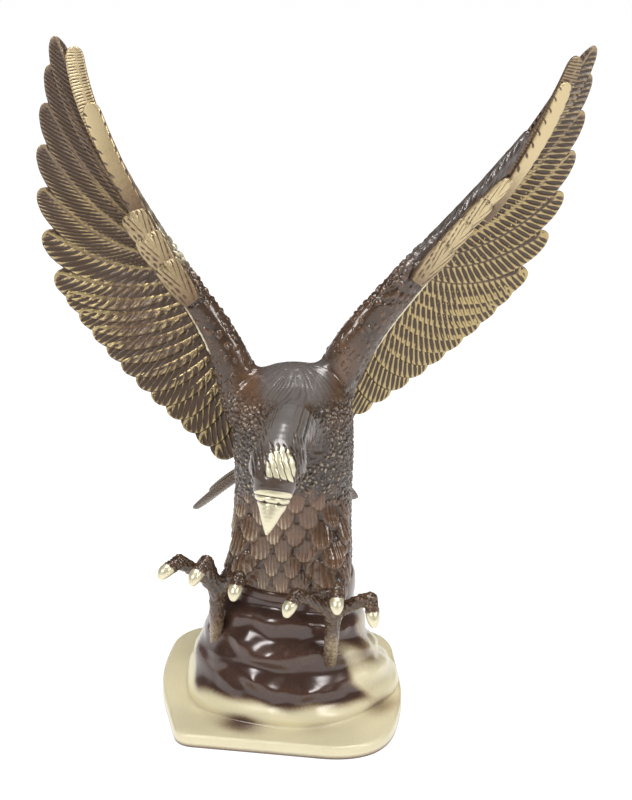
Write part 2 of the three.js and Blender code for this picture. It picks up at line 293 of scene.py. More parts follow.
def shown(name: str, data: bpy.types.ID) -> bpy.types.Object:
    """Makes an object at the origin and links it to the scene.

    Args:
        name: the object's name.
        data: its mesh, lamp or camera data.

    Returns:
        The object.
    """
    made = bpy.data.objects.new(name, data)
    bpy.context.collection.objects.link(made)
    return made


class FeatherCutter:
    """Carves feathers with one Geometry Nodes tree, whose inputs are set for each feather."""

    FRONT_SHARE = 16 / 24
    BACK_DEPTH = 0.45
    SPINE_WIDTH = 0.45
    GROOVE_AT = 1.05
    GROOVE_WIDTH = 0.42
    INK_WIDTH = 0.95
    DOME = 0.35
    TIP_THINNING = 0.35
    SEED_STEP = 1.7
    FEWEST_ROWS = 12
    QUICK_COARSENESS = 2.2
    WELD_REACH = 0.00002
    POINTED = (
        *((0, 0.5), (0.12, 0.68), (0.4, 0.93), (0.66, 1.0)),
        *((0.83, 0.9), (0.92, 0.7), (0.97, 0.46), (1, 0.0)),
    )
    SQUARE = (
        *((0, 0.62), (0.15, 0.8), (0.5, 0.97), (0.75, 1.0)),
        *((0.9, 0.97), (0.955, 0.82), (0.985, 0.55), (1, 0.0)),
    )
    VECTORS = {"Root": "root", "Bend": "bend", "Tip": "tip", "Face": "face"}
    NUMBERS = {
        "Length": "length",
        "Half Width": "half_width",
        "Half Thickness": "half_thickness",
        "Barb Pitch": "pitch",
        "Carving Depth": "depth",
        "Barb Slant": "slant",
        "Shaft Offset": "shaft",
        "Polish": "polish",
        "Bluntness": "blunt",
        "Cut Share": "share",
        "Cut Start": "start",
        "Spine": "spine",
        "Fade": "fade",
    }

    def __init__(self) -> None:
        """Builds the tree."""
        self.tree = bpy.data.node_groups.new("carved_feather", "GeometryNodeTree")
        self.inputs: dict[str, str] = {}
        self._declare()
        self._build()

    def _declare(self) -> None:
        """Names the tree's inputs and its output."""
        add = self.tree.interface.new_socket
        add("Geometry", in_out="INPUT", socket_type="NodeSocketGeometry")
        kinds = [(name, "Vector") for name in self.VECTORS]
        kinds += [(name, "Float") for name in (*self.NUMBERS, "Seed")]
        kinds += [("Rows", "Int"), ("Columns", "Int"), ("Material", "Material")]
        for name, kind in kinds:
            self.inputs[name] = add(name, in_out="INPUT", socket_type=f"NodeSocket{kind}").identifier
        add("Geometry", in_out="OUTPUT", socket_type="NodeSocketGeometry")

    def _curve(self, value: Value, points: Sequence[tuple[float, float]]) -> Value:
        """Reads a value off a drawn curve.

        Args:
            value: where to read, from 0 to 1.
            points: the curve's points.

        Returns:
            The curve's height there.
        """
        node = self.tree.nodes.new("ShaderNodeFloatCurve")
        curve = node.mapping.curves[0]
        while len(curve.points) < len(points):
            curve.points.new(0.5, 0.5)
        for knot, (x, y) in zip(curve.points, points):
            knot.location = (x, y)
            knot.handle_type = "AUTO"
        node.mapping.update()
        value.feed(node.inputs["Value"])
        return Value(self.tree, node.outputs[0])

    def _build(self) -> None:
        """Makes the nodes: a grid wrapped round the blade, then lifted into shaft, pits and rim."""
        tree = self.tree
        source = tree.nodes.new("NodeGroupInput")

        def number(name: str) -> Value:
            """Returns a named input as a value."""
            return Value(tree, source.outputs[name])

        def arrow(name: str) -> Arrow:
            """Returns a named input as a vector."""
            return Arrow(tree, source.outputs[name])

        grid = tree.nodes.new("GeometryNodeMeshGrid")
        number("Rows").feed(grid.inputs["Vertices X"])
        number("Columns").feed(grid.inputs["Vertices Y"])
        place = tree.nodes.new("GeometryNodeInputPosition")
        parts = tree.nodes.new("ShaderNodeSeparateXYZ")
        tree.links.new(place.outputs[0], parts.inputs[0])
        along = Value(tree, parts.outputs[0]) + 0.5
        around = Value(tree, parts.outputs[1]) + 0.5

        # Round the section: across the front from edge to edge, then back across the rear
        on_front = around.math("LESS_THAN", self.FRONT_SHARE + 1e-4)
        front_turn = around * (1 / self.FRONT_SHARE)
        back_turn = (around - self.FRONT_SHARE) * (1 / (1 - self.FRONT_SHARE))
        across = on_front * (front_turn * 2 - 1) + (1 - on_front) * (1 - back_turn * 2)
        across = (across * (math.pi / 2)).math("SINE") * 0.45 + across * 0.55

        length = number("Length")
        half = number("Half Width")

        def width_at(u: Value) -> Value:
            """Returns the blade's half width at a share of its length.

            Args:
                u: the share of the blade's length.

            Returns:
                The half width there.
            """
            pointed = self._curve(u, self.POINTED)
            square = self._curve(u, self.SQUARE)
            share = number("Bluntness")
            return half * (pointed * (1 - share) + square * share)

        shaft_at = number("Shaft Offset")
        lateral = (across - shaft_at).size() * width_at(along)
        room = (along * (1 - along) * 4).least(1.0)
        sheared = along + lateral * number("Barb Slant") / length * room
        sheared = sheared.held()
        width = width_at(sheared)
        x = (across - shaft_at) * width
        s = sheared * length

        # The shaft's curve, and the blade's own side and face there
        root, bend, tip = arrow("Root"), arrow("Bend"), arrow("Tip")
        rest = 1 - sheared
        centre = root * (rest * rest) + bend * (rest * sheared * 2) + tip * (sheared * sheared)
        ahead = (bend - root) * rest + (tip - bend) * sheared
        side = ahead.cross(arrow("Face")).unit()
        face = side.cross(ahead).unit()

        # Barbs: lens-shaped pits that lean to the tip, between thin ridges, inside a raised rim
        rough = tree.nodes.new("ShaderNodeTexNoise")
        rough.noise_dimensions = "4D"
        rough.inputs["Scale"].default_value = 0.14
        number("Seed").feed(rough.inputs["W"])
        tree.links.new(centre.socket, rough.inputs["Vector"])
        wander = (Value(tree, rough.outputs[0]) - 0.5) * 0.5
        phase = (s - x.size() * number("Barb Slant")) / number("Barb Pitch") + wander
        reach = across.math("GREATER_THAN", shaft_at)
        span = width * (reach * (1 - shaft_at) + (1 - reach) * (shaft_at + 1))
        out = x.size() / span.most(0.05)
        first = number("Cut Start")
        window = ((out - first).most(0.0) / (0.99 - first)).least(1.0)
        lens = (window * math.pi).math("SINE").most(0.0).power(0.5)
        off = (phase.math("FRACT") - 0.5).size() * 2
        pit = (lens * number("Cut Share") - off + 0.12).ease(0.0, 0.34)
        ends = sheared.ease(0.02, 0.1) * (1 - sheared.ease(0.95, 0.995))
        pit = pit * ends * window.ease(0.0, 0.06)
        spine = x.bell(self.SPINE_WIDTH) * (1 - sheared.ease(0.9, 0.99))
        groove = (x.size() - self.GROOVE_AT).bell(self.GROOVE_WIDTH) * ends
        rim = out.ease(0.93, 0.98)
        edge = 1 - across.size().power(7.0)
        shell = edge.most(0.0).power(0.5)
        depth = number("Carving Depth")
        dome = (1 - across * across) * self.DOME
        spine = spine * number("Spine")
        groove = groove * number("Spine")
        front = spine * 0.5 - groove * 0.45 + rim * 0.15 - pit * depth + dome
        back = spine * 0.35 - groove * 0.2 - pit * depth * self.BACK_DEPTH + dome * 0.5
        thick = number("Half Thickness")
        lift = on_front * (thick + front) * shell - (1 - on_front) * (thick + back) * shell
        taper = 1 - sheared.ease(0.55, 1.0) * self.TIP_THINNING
        moved = (centre + side * (across * width) + face * (lift * taper)) * MM

        # The fields read the flat grid, so the attributes are stored before it is moved
        # Painted shadow: a dark line along each feather's edge, standing in for the shadow that the overlapping
        # feather casts
        edge_shadow = out.ease(0.93, 0.975)
        inked = (number("Spine") * -2.4).most(0.0) * x.bell(self.INK_WIDTH) * (1 - sheared.ease(0.88, 0.97))
        height = (1 - pit * 1.1 - groove.most(0.0) * 0.95 - edge_shadow * 0.8 - inked).most(-0.2)
        geometry = grid.outputs["Mesh"]
        rubbed = number("Polish") - number("Fade") * (1 - sheared) * (1 - sheared)
        for name, value in (("relief", height), ("polish", rubbed)):
            store = tree.nodes.new("GeometryNodeStoreNamedAttribute")
            store.data_type = "FLOAT"
            store.domain = "POINT"
            store.inputs["Name"].default_value = name
            value.feed(store.inputs["Value"])
            tree.links.new(geometry, store.inputs["Geometry"])
            geometry = store.outputs[0]
        self._finish(geometry, moved, source.outputs["Material"])

    def _finish(self, geometry: bpy.types.NodeSocket, moved: Arrow, material: bpy.types.NodeSocket) -> None:
        """Adds the nodes that move, weld and dress the grid.

        Args:
            geometry: the flat grid with its attributes.
            moved: where each of its points goes.
            material: the feather's material.
        """
        tree = self.tree
        put = tree.nodes.new("GeometryNodeSetPosition")
        tree.links.new(geometry, put.inputs["Geometry"])
        tree.links.new(moved.socket, put.inputs["Position"])
        weld = tree.nodes.new("GeometryNodeMergeByDistance")
        weld.inputs["Distance"].default_value = self.WELD_REACH
        kinds = ("GeometryNodeSetShadeSmooth", "GeometryNodeRealizeInstances", "GeometryNodeSetMaterial")
        smooth, whole, dress = (tree.nodes.new(kind) for kind in kinds)
        result = tree.nodes.new("NodeGroupOutput")
        chain = [put, weld, smooth, whole, dress, result]
        for before, after in zip(chain, chain[1:]):
            tree.links.new(before.outputs[0], after.inputs[0])
        tree.links.new(material, dress.inputs["Material"])

    def cut(self, feathers: Iterable[Feather], name: str, material: bpy.types.Material) -> bpy.types.Object:
        """Carves feathers and joins them into one piece.

        Args:
            feathers: the feathers.
            name: the piece's name.
            material: its material.

        Returns:
            The piece.
        """
        coarse = 1.0
        meshes: list[bpy.types.Mesh] = []
        for index, one in enumerate(feathers):
            holder = shown("feather_blank", bpy.data.meshes.new("feather_blank"))
            modifier = holder.modifiers.new("cut", "NODES")
            modifier.node_group = self.tree
            for key, field in (*self.VECTORS.items(), *self.NUMBERS.items()):
                modifier[self.inputs[key]] = getattr(one, field)
            modifier[self.inputs["Seed"]] = float(index) * self.SEED_STEP
            modifier[self.inputs["Rows"]] = max(int(one.length / (one.step * coarse)), self.FEWEST_ROWS)
            modifier[self.inputs["Columns"]] = one.columns + 1
            modifier[self.inputs["Material"]] = material
            ready = holder.evaluated_get(bpy.context.evaluated_depsgraph_get())
            meshes.append(bpy.data.meshes.new_from_object(ready))
            bpy.data.objects.remove(holder)
        return join_meshes(name, meshes, material)


def join_meshes(
    name: str, meshes: Sequence[bpy.types.Mesh], material: bpy.types.Material
) -> bpy.types.Object:
    """Joins meshes with the same attributes into one object at the origin.

    Args:
        name: the new object's name.
        meshes: the meshes, which are removed.
        material: the object's material.

    Returns:
        The object.
    """
    objects = [shown(name, mesh) for mesh in meshes]
    with bpy.context.temp_override(active_object=objects[0], selected_editable_objects=objects):
        bpy.ops.object.join()
    whole = objects[0]
    whole.name = name
    whole.data.name = name
    whole.data.materials.clear()
    whole.data.materials.append(material)
    return whole


# ---------------------------------------------------------------- skins from distance fields


Points = np.ndarray


@dataclass(frozen=True)
class Joint:
    """A place on a limb, in the eagle's own frame, with its half width and half depth."""

    at: Vec
    wide: float
    deep: float


def smooth_limb(joints: Sequence[Joint], steps: int = 4) -> list[Joint]:
    """Adds joints between the given ones along a smooth curve.

    Args:
        joints: the limb's joints.
        steps: how many stretches each gap is cut into.

    Returns:
        The finer list of joints.
    """
    rows = np.array([[*j.at, j.wide, j.deep] for j in joints])
    padded = np.vstack([2 * rows[0] - rows[1], rows, 2 * rows[-1] - rows[-2]])
    fine: list[Joint] = []
    for i in range(1, len(padded) - 2):
        p0, p1, p2, p3 = padded[i - 1 : i + 3]
        for k in range(steps):
            t = k / steps
            bend = (2 * p0 - 5 * p1 + 4 * p2 - p3) * t**2
            twist = (3 * p1 - p0 - 3 * p2 + p3) * t**3
            row = 0.5 * (2 * p1 + (p2 - p0) * t + bend + twist)
            fine.append(Joint(tuple(row[:3]), float(row[3]), float(row[4])))
    fine.append(joints[-1])
    return fine


@dataclass(frozen=True)
class Stretch:
    """A limb's straight run between two joints, with its length and its own directions."""

    a: Joint
    b: Joint
    length: float
    ahead: np.ndarray
    across: np.ndarray
    up: np.ndarray

    def read(self, points: Points) -> tuple[np.ndarray, np.ndarray]:
        """Returns the points' offsets from the start, and how far along they lie, from 0 to 1."""
        offset = points - np.array(self.a.at)
        return offset, np.clip(offset @ self.ahead / self.length, 0, 1)


def stretches(joints: Sequence[Joint], side: Vec) -> Iterator[Stretch]:
    """Gives a limb's stretches in order.

    Args:
        joints: the limb's joints.
        side: the direction that the joints' width is measured in.

    Yields:
        Each stretch.
    """
    for a, b in zip(joints, joints[1:]):
        run = np.array(b.at) - np.array(a.at)
        length = max(float(np.linalg.norm(run)), 1e-6)
        ahead = run / length
        across = np.array(side) - np.dot(side, ahead) * ahead
        across /= np.linalg.norm(across)
        yield Stretch(a, b, length, ahead, across, np.cross(ahead, across))


def limb_field(points: Points, joints: Sequence[Joint], side: Vec = (1.0, 0.0, 0.0)) -> np.ndarray:
    """Measures how far points lie outside a limb; negative values are inside.

    Args:
        points: the points, as rows of x, y and z.
        joints: the limb's joints.
        side: the direction that the joints' width is measured in.

    Returns:
        The distances, nearly.
    """
    best = np.full(len(points), 1e6, dtype=np.float32)
    for run in stretches(joints, side):
        offset, t = run.read(points)
        wide = run.a.wide + t * (run.b.wide - run.a.wide)
        deep = run.a.deep + t * (run.b.deep - run.a.deep)
        least = np.minimum(wide, deep)
        beyond = offset @ run.ahead - t * run.length
        section = (offset @ run.across / wide) ** 2 + (offset @ run.up / deep) ** 2
        reach = np.sqrt(section + (beyond / least) ** 2)
        best = np.minimum(best, (reach - 1) * least)
    return best


def blend(a: np.ndarray, b: np.ndarray, soft: float) -> np.ndarray:
    """Joins two fields with a soft fillet between them.

    Args:
        a: the first field.
        b: the second.
        soft: the fillet's size.

    Returns:
        The joined field.
    """
    h = np.clip(0.5 + 0.5 * (b - a) / soft, 0, 1)
    return b * (1 - h) + a * h - soft * h * (1 - h)


def ball(points: Points, centre: Vec, radii: Vec) -> np.ndarray:
    """Measures how far points lie outside an ellipsoid, nearly.

    Args:
        points: the points.
        centre: the ellipsoid's middle.
        radii: its half sizes.

    Returns:
        The distances.
    """
    reach = np.sqrt((((points - np.array(centre)) / np.array(radii)) ** 2).sum(axis=1))
    return (reach - 1) * min(radii)


@dataclass(frozen=True)
class Skin:
    """A closed skin of quads, with the outward direction at each corner."""

    verts: np.ndarray
    faces: np.ndarray
    normals: np.ndarray


CORNERS = tuple(product((0, 1), repeat=3))
BLOCK = 4


def sampled(field_at: Callable[[Points], np.ndarray], axes: Sequence[np.ndarray], step: float) -> np.ndarray:
    """Samples a field on a grid, finely only near the places where it changes sign.

    Args:
        field_at: gives the field at points.
        axes: the grid's places along each axis.
        step: the grid's step.

    Returns:
        The field's values on the grid.
    """
    coarse_axes = [axis[::BLOCK] for axis in axes]
    coarse = field_at(np.stack(np.meshgrid(*coarse_axes, indexing="ij"), axis=-1).reshape(-1, 3))
    coarse = coarse.reshape([len(axis) for axis in coarse_axes])
    for axis in range(3):
        coarse = np.repeat(coarse, BLOCK, axis=axis)
    values = coarse[tuple(slice(0, len(axis)) for axis in axes)].astype(np.float32)
    near = np.argwhere(np.abs(values) < BLOCK * step * 2.2)
    for some in np.array_split(near, max(len(near) // 400000, 1)):
        places = np.stack([axes[n][some[:, n]] for n in range(3)], axis=1)
        values[tuple(some.T)] = field_at(places)
    return values


def crossings(values: np.ndarray, cells: np.ndarray) -> np.ndarray:
    """Returns the mean place in each cell, from 0 to 1, where the field crosses the cell's edges.

    Args:
        values: the field's values on the grid.
        cells: the cells' places in the grid.

    Returns:
        One row for each cell.
    """
    total = np.zeros((len(cells), 3))
    hits = np.zeros(len(cells))
    for a in CORNERS:
        for axis in range(3):
            if a[axis]:
                continue
            b = tuple(v + (n == axis) for n, v in enumerate(a))
            va = values[tuple((cells + a).T)]
            vb = values[tuple((cells + b).T)]
            cross = (va < 0) != (vb < 0)
            share = va[cross] / (va[cross] - vb[cross])
            total[cross] += np.array(a) + share[:, None] * (np.array(b) - np.array(a))
            hits[cross] += 1
    return total / hits[:, None]


def quads_along(inside: np.ndarray, number: np.ndarray, axis: int) -> np.ndarray:
    """Returns the quads that cut a grid's edges along one axis, facing outwards.

    Args:
        inside: which of the grid's places lie inside the skin.
        number: the corner number of each cell.
        axis: the axis.

    Returns:
        The quads, as rows of corner numbers.
    """
    near = [slice(None)] * 3
    far = [slice(None)] * 3
    near[axis], far[axis] = slice(0, -1), slice(1, None)
    change = inside[tuple(near)] != inside[tuple(far)]
    u, v = (axis + 1) % 3, (axis + 2) % 3
    trimmed = [slice(1, -1) if n != axis else slice(None) for n in range(3)]
    place = np.argwhere(change[tuple(trimmed)])
    place[:, [u, v]] += 1
    ring = []
    for du, dv in ((-1, -1), (0, -1), (0, 0), (-1, 0)):
        cell = place.copy()
        cell[:, u] += du
        cell[:, v] += dv
        ring.append(number[tuple(cell.T)])
    quad = np.stack(ring, axis=1)
    entering = ~inside[tuple(place.T)]
    quad[entering] = quad[entering][:, ::-1]
    return quad


def skin(name: str, field_at: Callable[[Points], np.ndarray], low: Vec, high: Vec, step: float) -> Skin:
    """Draws a closed skin of quads over the places where a field changes sign.

    Args:
        name: what the skin is of, for the log.
        field_at: gives the field at points.
        low: the lowest corner of the space that is searched.
        high: the highest corner.
        step: the grid's step.

    Returns:
        The skin, evened out a little.
    """
    step = step * 1.0
    axes = [np.arange(a, b + step, step, dtype=np.float32) for a, b in zip(low, high)]
    values = sampled(field_at, axes, step)
    inside = values < 0
    nx, ny, nz = (n - 1 for n in values.shape)
    count = np.zeros((nx, ny, nz), dtype=np.int8)
    for i, j, k in CORNERS:
        count += inside[i : nx + i, j : ny + j, k : nz + k]
    active = (count > 0) & (count < len(CORNERS))
    cells = np.argwhere(active)
    number = np.full(active.shape, -1, dtype=np.int64)
    number[active] = np.arange(len(cells))
    verts = np.array([axis[0] for axis in axes]) + step * (cells + crossings(values, cells))
    faces = np.vstack([quads_along(inside, number, axis) for axis in range(3)])
    LOG.info("%s: %d quads", name, len(faces))
    verts = relax(verts, faces)
    return Skin(verts, faces, corner_normals(verts, faces))


def write_values(mesh: bpy.types.Mesh, name: str, values: np.ndarray) -> None:
    """Stores one number for each corner of a mesh under a name.

    Args:
        mesh: the mesh.
        name: the name that the finish reads.
        values: one number for each corner.
    """
    slot = mesh.attributes.get(name)
    if slot is None:
        slot = mesh.attributes.new(name, "FLOAT", "POINT")
    slot.data.foreach_set("value", np.asarray(values, dtype=np.float32))


def read_values(mesh: bpy.types.Mesh, name: str) -> np.ndarray:
    """Returns the stored numbers of a mesh's corners.

    Args:
        mesh: the mesh.
        name: the name they are stored under.

    Returns:
        One number for each corner.
    """
    values = np.empty(len(mesh.vertices), dtype=np.float32)
    mesh.attributes[name].data.foreach_get("value", values)
    return values


def mesh_from(
    name: str,
    verts: np.ndarray,
    faces: Sequence[Sequence[int]],
    material: bpy.types.Material,
    attributes: dict[str, np.ndarray],
) -> bpy.types.Object:
    """Makes a smooth-shaded object at the origin.

    Args:
        name: its name.
        verts: the corners, in millimetres.
        faces: the faces, as rows of corner numbers.
        material: its material.
        attributes: values for each corner, by name.

    Returns:
        The object.
    """
    mesh = bpy.data.meshes.new(name)
    mesh.from_pydata((verts * MM).tolist(), [], faces)
    for key, values in attributes.items():
        write_values(mesh, key, values)
    mesh.shade_smooth()
    mesh.materials.append(material)
    mesh.validate()
    return shown(name, mesh)


def corner_normals(verts: np.ndarray, faces: np.ndarray) -> np.ndarray:
    """Returns the outward direction at each corner of a skin.

    Args:
        verts: the skin's corners.
        faces: its quads.

    Returns:
        One unit vector for each corner.
    """
    normals = np.zeros_like(verts)
    a, b, c, d = (verts[faces[:, n]] for n in range(4))
    face = np.cross(c - a, d - b)
    for n in range(4):
        np.add.at(normals, faces[:, n], face)
    return normals / np.maximum(np.linalg.norm(normals, axis=1, keepdims=True), 1e-9)


def relax(verts: np.ndarray, faces: np.ndarray, amount: float = 0.4) -> np.ndarray:
    """Evens a skin out by moving each corner towards its neighbours' middle.

    Args:
        verts: the corners.
        faces: the quads.
        amount: how far, as a share of the way.

    Returns:
        The moved corners.
    """
    edges = np.vstack([faces[:, [n, (n + 1) % 4]] for n in range(4)])
    count = np.bincount(edges.ravel(), minlength=len(verts))[:, None]
    total = np.zeros_like(verts)
    np.add.at(total, edges[:, 0], verts[edges[:, 1]])
    np.add.at(total, edges[:, 1], verts[edges[:, 0]])
    return verts + amount * (total / np.maximum(count, 1) - verts)


def ease(value: np.ndarray | float, low: float, high: float) -> np.ndarray:
    """Returns a smooth step from 0 at low to 1 at high."""
    t = np.clip((np.asarray(value) - low) / (high - low), 0, 1)
    return t * t * (3 - 2 * t)


def bump(value: np.ndarray, middle: float, width: float) -> np.ndarray:
    """Returns a bell of height 1 at the middle, which falls to about a third at the width."""
    return np.exp(-(((value - middle) / width) ** 2))


def shingles(a: np.ndarray, b: np.ndarray, row: float, column: float, lap: float = 1.5) -> np.ndarray:
    """Heights of overlapping round-ended scales that point along a.

    Args:
        a: distance along the scales.
        b: distance across them.
        row: step between rows.
        column: step between scales in a row.
        lap: a scale's length in rows.

    Returns:
        Heights from 0 in the gaps to 1 at the scales' tips.
    """
    height = np.zeros_like(a)
    base = np.floor(a / row)
    for index in (base, base - 1):
        shift = np.where(index % 2 == 0, 0.0, 0.5)
        across = (b / column + shift) - np.round(b / column + shift)
        along = (a - index * row) / (row * lap)
        inside = (along >= 0) & (along**2 < 1 - (np.abs(across) * 2) ** 2.2)
        lip = ease(1 - (np.abs(across) * 2) ** 2.2 - along**2, 0.0, 0.3)
        level = (0.3 + 0.7 * np.clip(along, 0, 1)) * (0.25 + 0.75 * lip)
        height = np.where(inside, level, height)
    return height


# ---------------------------------------------------------------- finishes


@dataclass(frozen=True)
class Patina:
    """Cast brass under dark lacquer that is rubbed off where the casting stands proud."""

    name: str
    brass: Vec = (0.66, 0.53, 0.30)
    lacquer: Vec = (0.046, 0.029, 0.019)
    warm: Vec = (0.20, 0.108, 0.06)
    # A pale grey mixed into the lacquer: partly the casting's grey tone, partly a painted sheen standing in for
    # the lacquer's reflection of the sky
    grey_and_sheen: Vec = (0.17, 0.155, 0.148)
    brass_roughness: float = 0.36
    lacquer_roughness: float = 0.26
    tarnish: Vec = (0.30, 0.21, 0.12)
    metal: float = 0.9
    coat: float = 0.5
    coat_roughness: float = 0.1
    low: float = 0.35
    high: float = 0.85
    grain: float = 0.35
    pitting: float = 0.25

    def group(self) -> bpy.types.NodeTree:
        """Returns the node group that turns relief and polish into masks and a bump height.

        Returns:
            The node group, which every finish shares.
        """
        found = bpy.data.node_groups.get("rubbed_patina")
        if found:
            return found
        tree = bpy.data.node_groups.new("rubbed_patina", "ShaderNodeTree")
        for name in ("Relief", "Polish", "Copper", "Low", "High", "Grain"):
            tree.interface.new_socket(name, in_out="INPUT", socket_type="NodeSocketFloat")
        tree.interface.new_socket("Place", in_out="INPUT", socket_type="NodeSocketVector")
        for name in ("Rubbed", "Warmth", "Tarnish", "Height"):
            tree.interface.new_socket(name, in_out="OUTPUT", socket_type="NodeSocketFloat")
        source = tree.nodes.new("NodeGroupInput")
        result = tree.nodes.new("NodeGroupOutput")

        def noise(scale: float, detail: float) -> Value:
            """Returns noise about zero at a scale in repeats for each metre.

            Args:
                scale: repeats for each metre.
                detail: how many finer layers it has.

            Returns:
                The noise, from about -0.5 to 0.5.
            """
            node = tree.nodes.new("ShaderNodeTexNoise")
            node.inputs["Scale"].default_value = scale
            node.inputs["Detail"].default_value = detail
            tree.links.new(source.outputs["Place"], node.inputs["Vector"])
            return Value(tree, node.outputs[0]) - 0.5

        relief, polish = Value(tree, source.outputs["Relief"]), Value(tree, source.outputs["Polish"])
        low, high = Value(tree, source.outputs["Low"]), Value(tree, source.outputs["High"])
        grain = Value(tree, source.outputs["Grain"])
        broad, fine = noise(60.0, 3.0), noise(900.0, 4.0)
        score = relief + (polish - 0.5) * 1.0 + (broad * 0.7 + fine * 0.55) * grain
        rubbed = ((score - low) / (high - low)).held()
        rubbed = rubbed * rubbed * (3 - rubbed * 2)
        copper = Value(tree, source.outputs["Copper"])
        warmth = copper * (0.6 + broad * 2.4) + fine * 0.7 + polish * 0.6 + (relief - 0.45) * 1.1
        tarnish = (0.95 - score + noise(25.0, 2.0) * 1.6).held()
        height = fine * 0.5 + noise(2600.0, 2.0) * 0.25
        outputs = {"Rubbed": rubbed, "Warmth": warmth.held(), "Tarnish": tarnish, "Height": height}
        for name, value in outputs.items():
            value.feed(result.inputs[name])
        return tree

    def material(self) -> bpy.types.Material:
        """Builds the material.

        Returns:
            The material, which reads each point's relief and polish.
        """
        material = bpy.data.materials.new(self.name)
        material.use_nodes = True
        tree = material.node_tree
        shader = tree.nodes["Principled BSDF"]

        def reading(name: str) -> bpy.types.NodeSocket:
            """Returns a stored attribute's value.

            Args:
                name: the attribute's name.

            Returns:
                The socket that gives it.
            """
            node = tree.nodes.new("ShaderNodeAttribute")
            node.attribute_name = name
            return node.outputs["Fac"]

        effect = tree.nodes.new("ShaderNodeGroup")
        effect.node_tree = self.group()
        for name in ("Relief", "Polish", "Copper"):
            tree.links.new(reading(name.lower()), effect.inputs[name])
        place = tree.nodes.new("ShaderNodeTexCoord")
        tree.links.new(place.outputs["Object"], effect.inputs["Place"])
        for name, value in {"Low": self.low, "High": self.high, "Grain": self.grain}.items():
            effect.inputs[name].default_value = value

        def mix(factor: bpy.types.NodeSocket, a: object, b: object) -> bpy.types.NodeSocket:
            """Mixes two colours, each given as numbers or a socket.

            Args:
                factor: how far to go from the first to the second.
                a: the first colour.
                b: the second colour.

            Returns:
                The mixed colour.
            """
            node = tree.nodes.new("ShaderNodeMix")
            node.data_type = "RGBA"
            tree.links.new(factor, node.inputs["Factor"])
            for key, value in ((6, a), (7, b)):
                if isinstance(value, bpy.types.NodeSocket):
                    tree.links.new(value, node.inputs[key])
                else:
                    node.inputs[key].default_value = (*value, 1.0)
            return node.outputs[2]

        dark = mix(effect.outputs["Warmth"], self.lacquer, self.warm)
        # Pale grey on the proud places: partly grey tone, partly a painted sheen that stands in for the
        # lacquer's reflection of the sky
        proud = (Value(tree, reading("relief")) * 2.2 - 0.25).held()
        grey_and_sheen_share = Value(tree, reading("grey_and_sheen")) * proud
        dark = mix(grey_and_sheen_share.socket, dark, self.grey_and_sheen)
        bright = mix(effect.outputs["Tarnish"], self.brass, self.tarnish)
        tree.links.new(mix(effect.outputs["Rubbed"], dark, bright), shader.inputs["Base Color"])
        rubbed = Value(tree, effect.outputs["Rubbed"])
        (rubbed * (self.metal - 0.1) + 0.1).feed(shader.inputs["Metallic"])
        spread = self.brass_roughness - self.lacquer_roughness
        (rubbed * spread + self.lacquer_roughness).feed(shader.inputs["Roughness"])
        shader.inputs["Coat Weight"].default_value = self.coat
        shader.inputs["Coat Roughness"].default_value = self.coat_roughness
        bump = tree.nodes.new("ShaderNodeBump")
        bump.inputs["Strength"].default_value = self.pitting
        bump.inputs["Distance"].default_value = 0.0003
        tree.links.new(effect.outputs["Height"], bump.inputs["Height"])
        tree.links.new(bump.outputs["Normal"], shader.inputs["Normal"])
        return material


# ---------------------------------------------------------------- the wings


@dataclass(frozen=True)
class Plan:
    """Sizes that both wings share, in millimetres along and across the open wing."""

    length: float = 170.0
    chord: float = 55.0
    camber: float = 4.0
    widest: float = 79.9
    feathers: int = 18
    primaries: int = 6
    primary_reach: float = 175.1
    secondary_pitch: float = 10.3
    inner_run: float = 98.6
    outer_run: float = 93.5
    outer_taper: float = 0.91
    tilt: float = math.radians(-8)


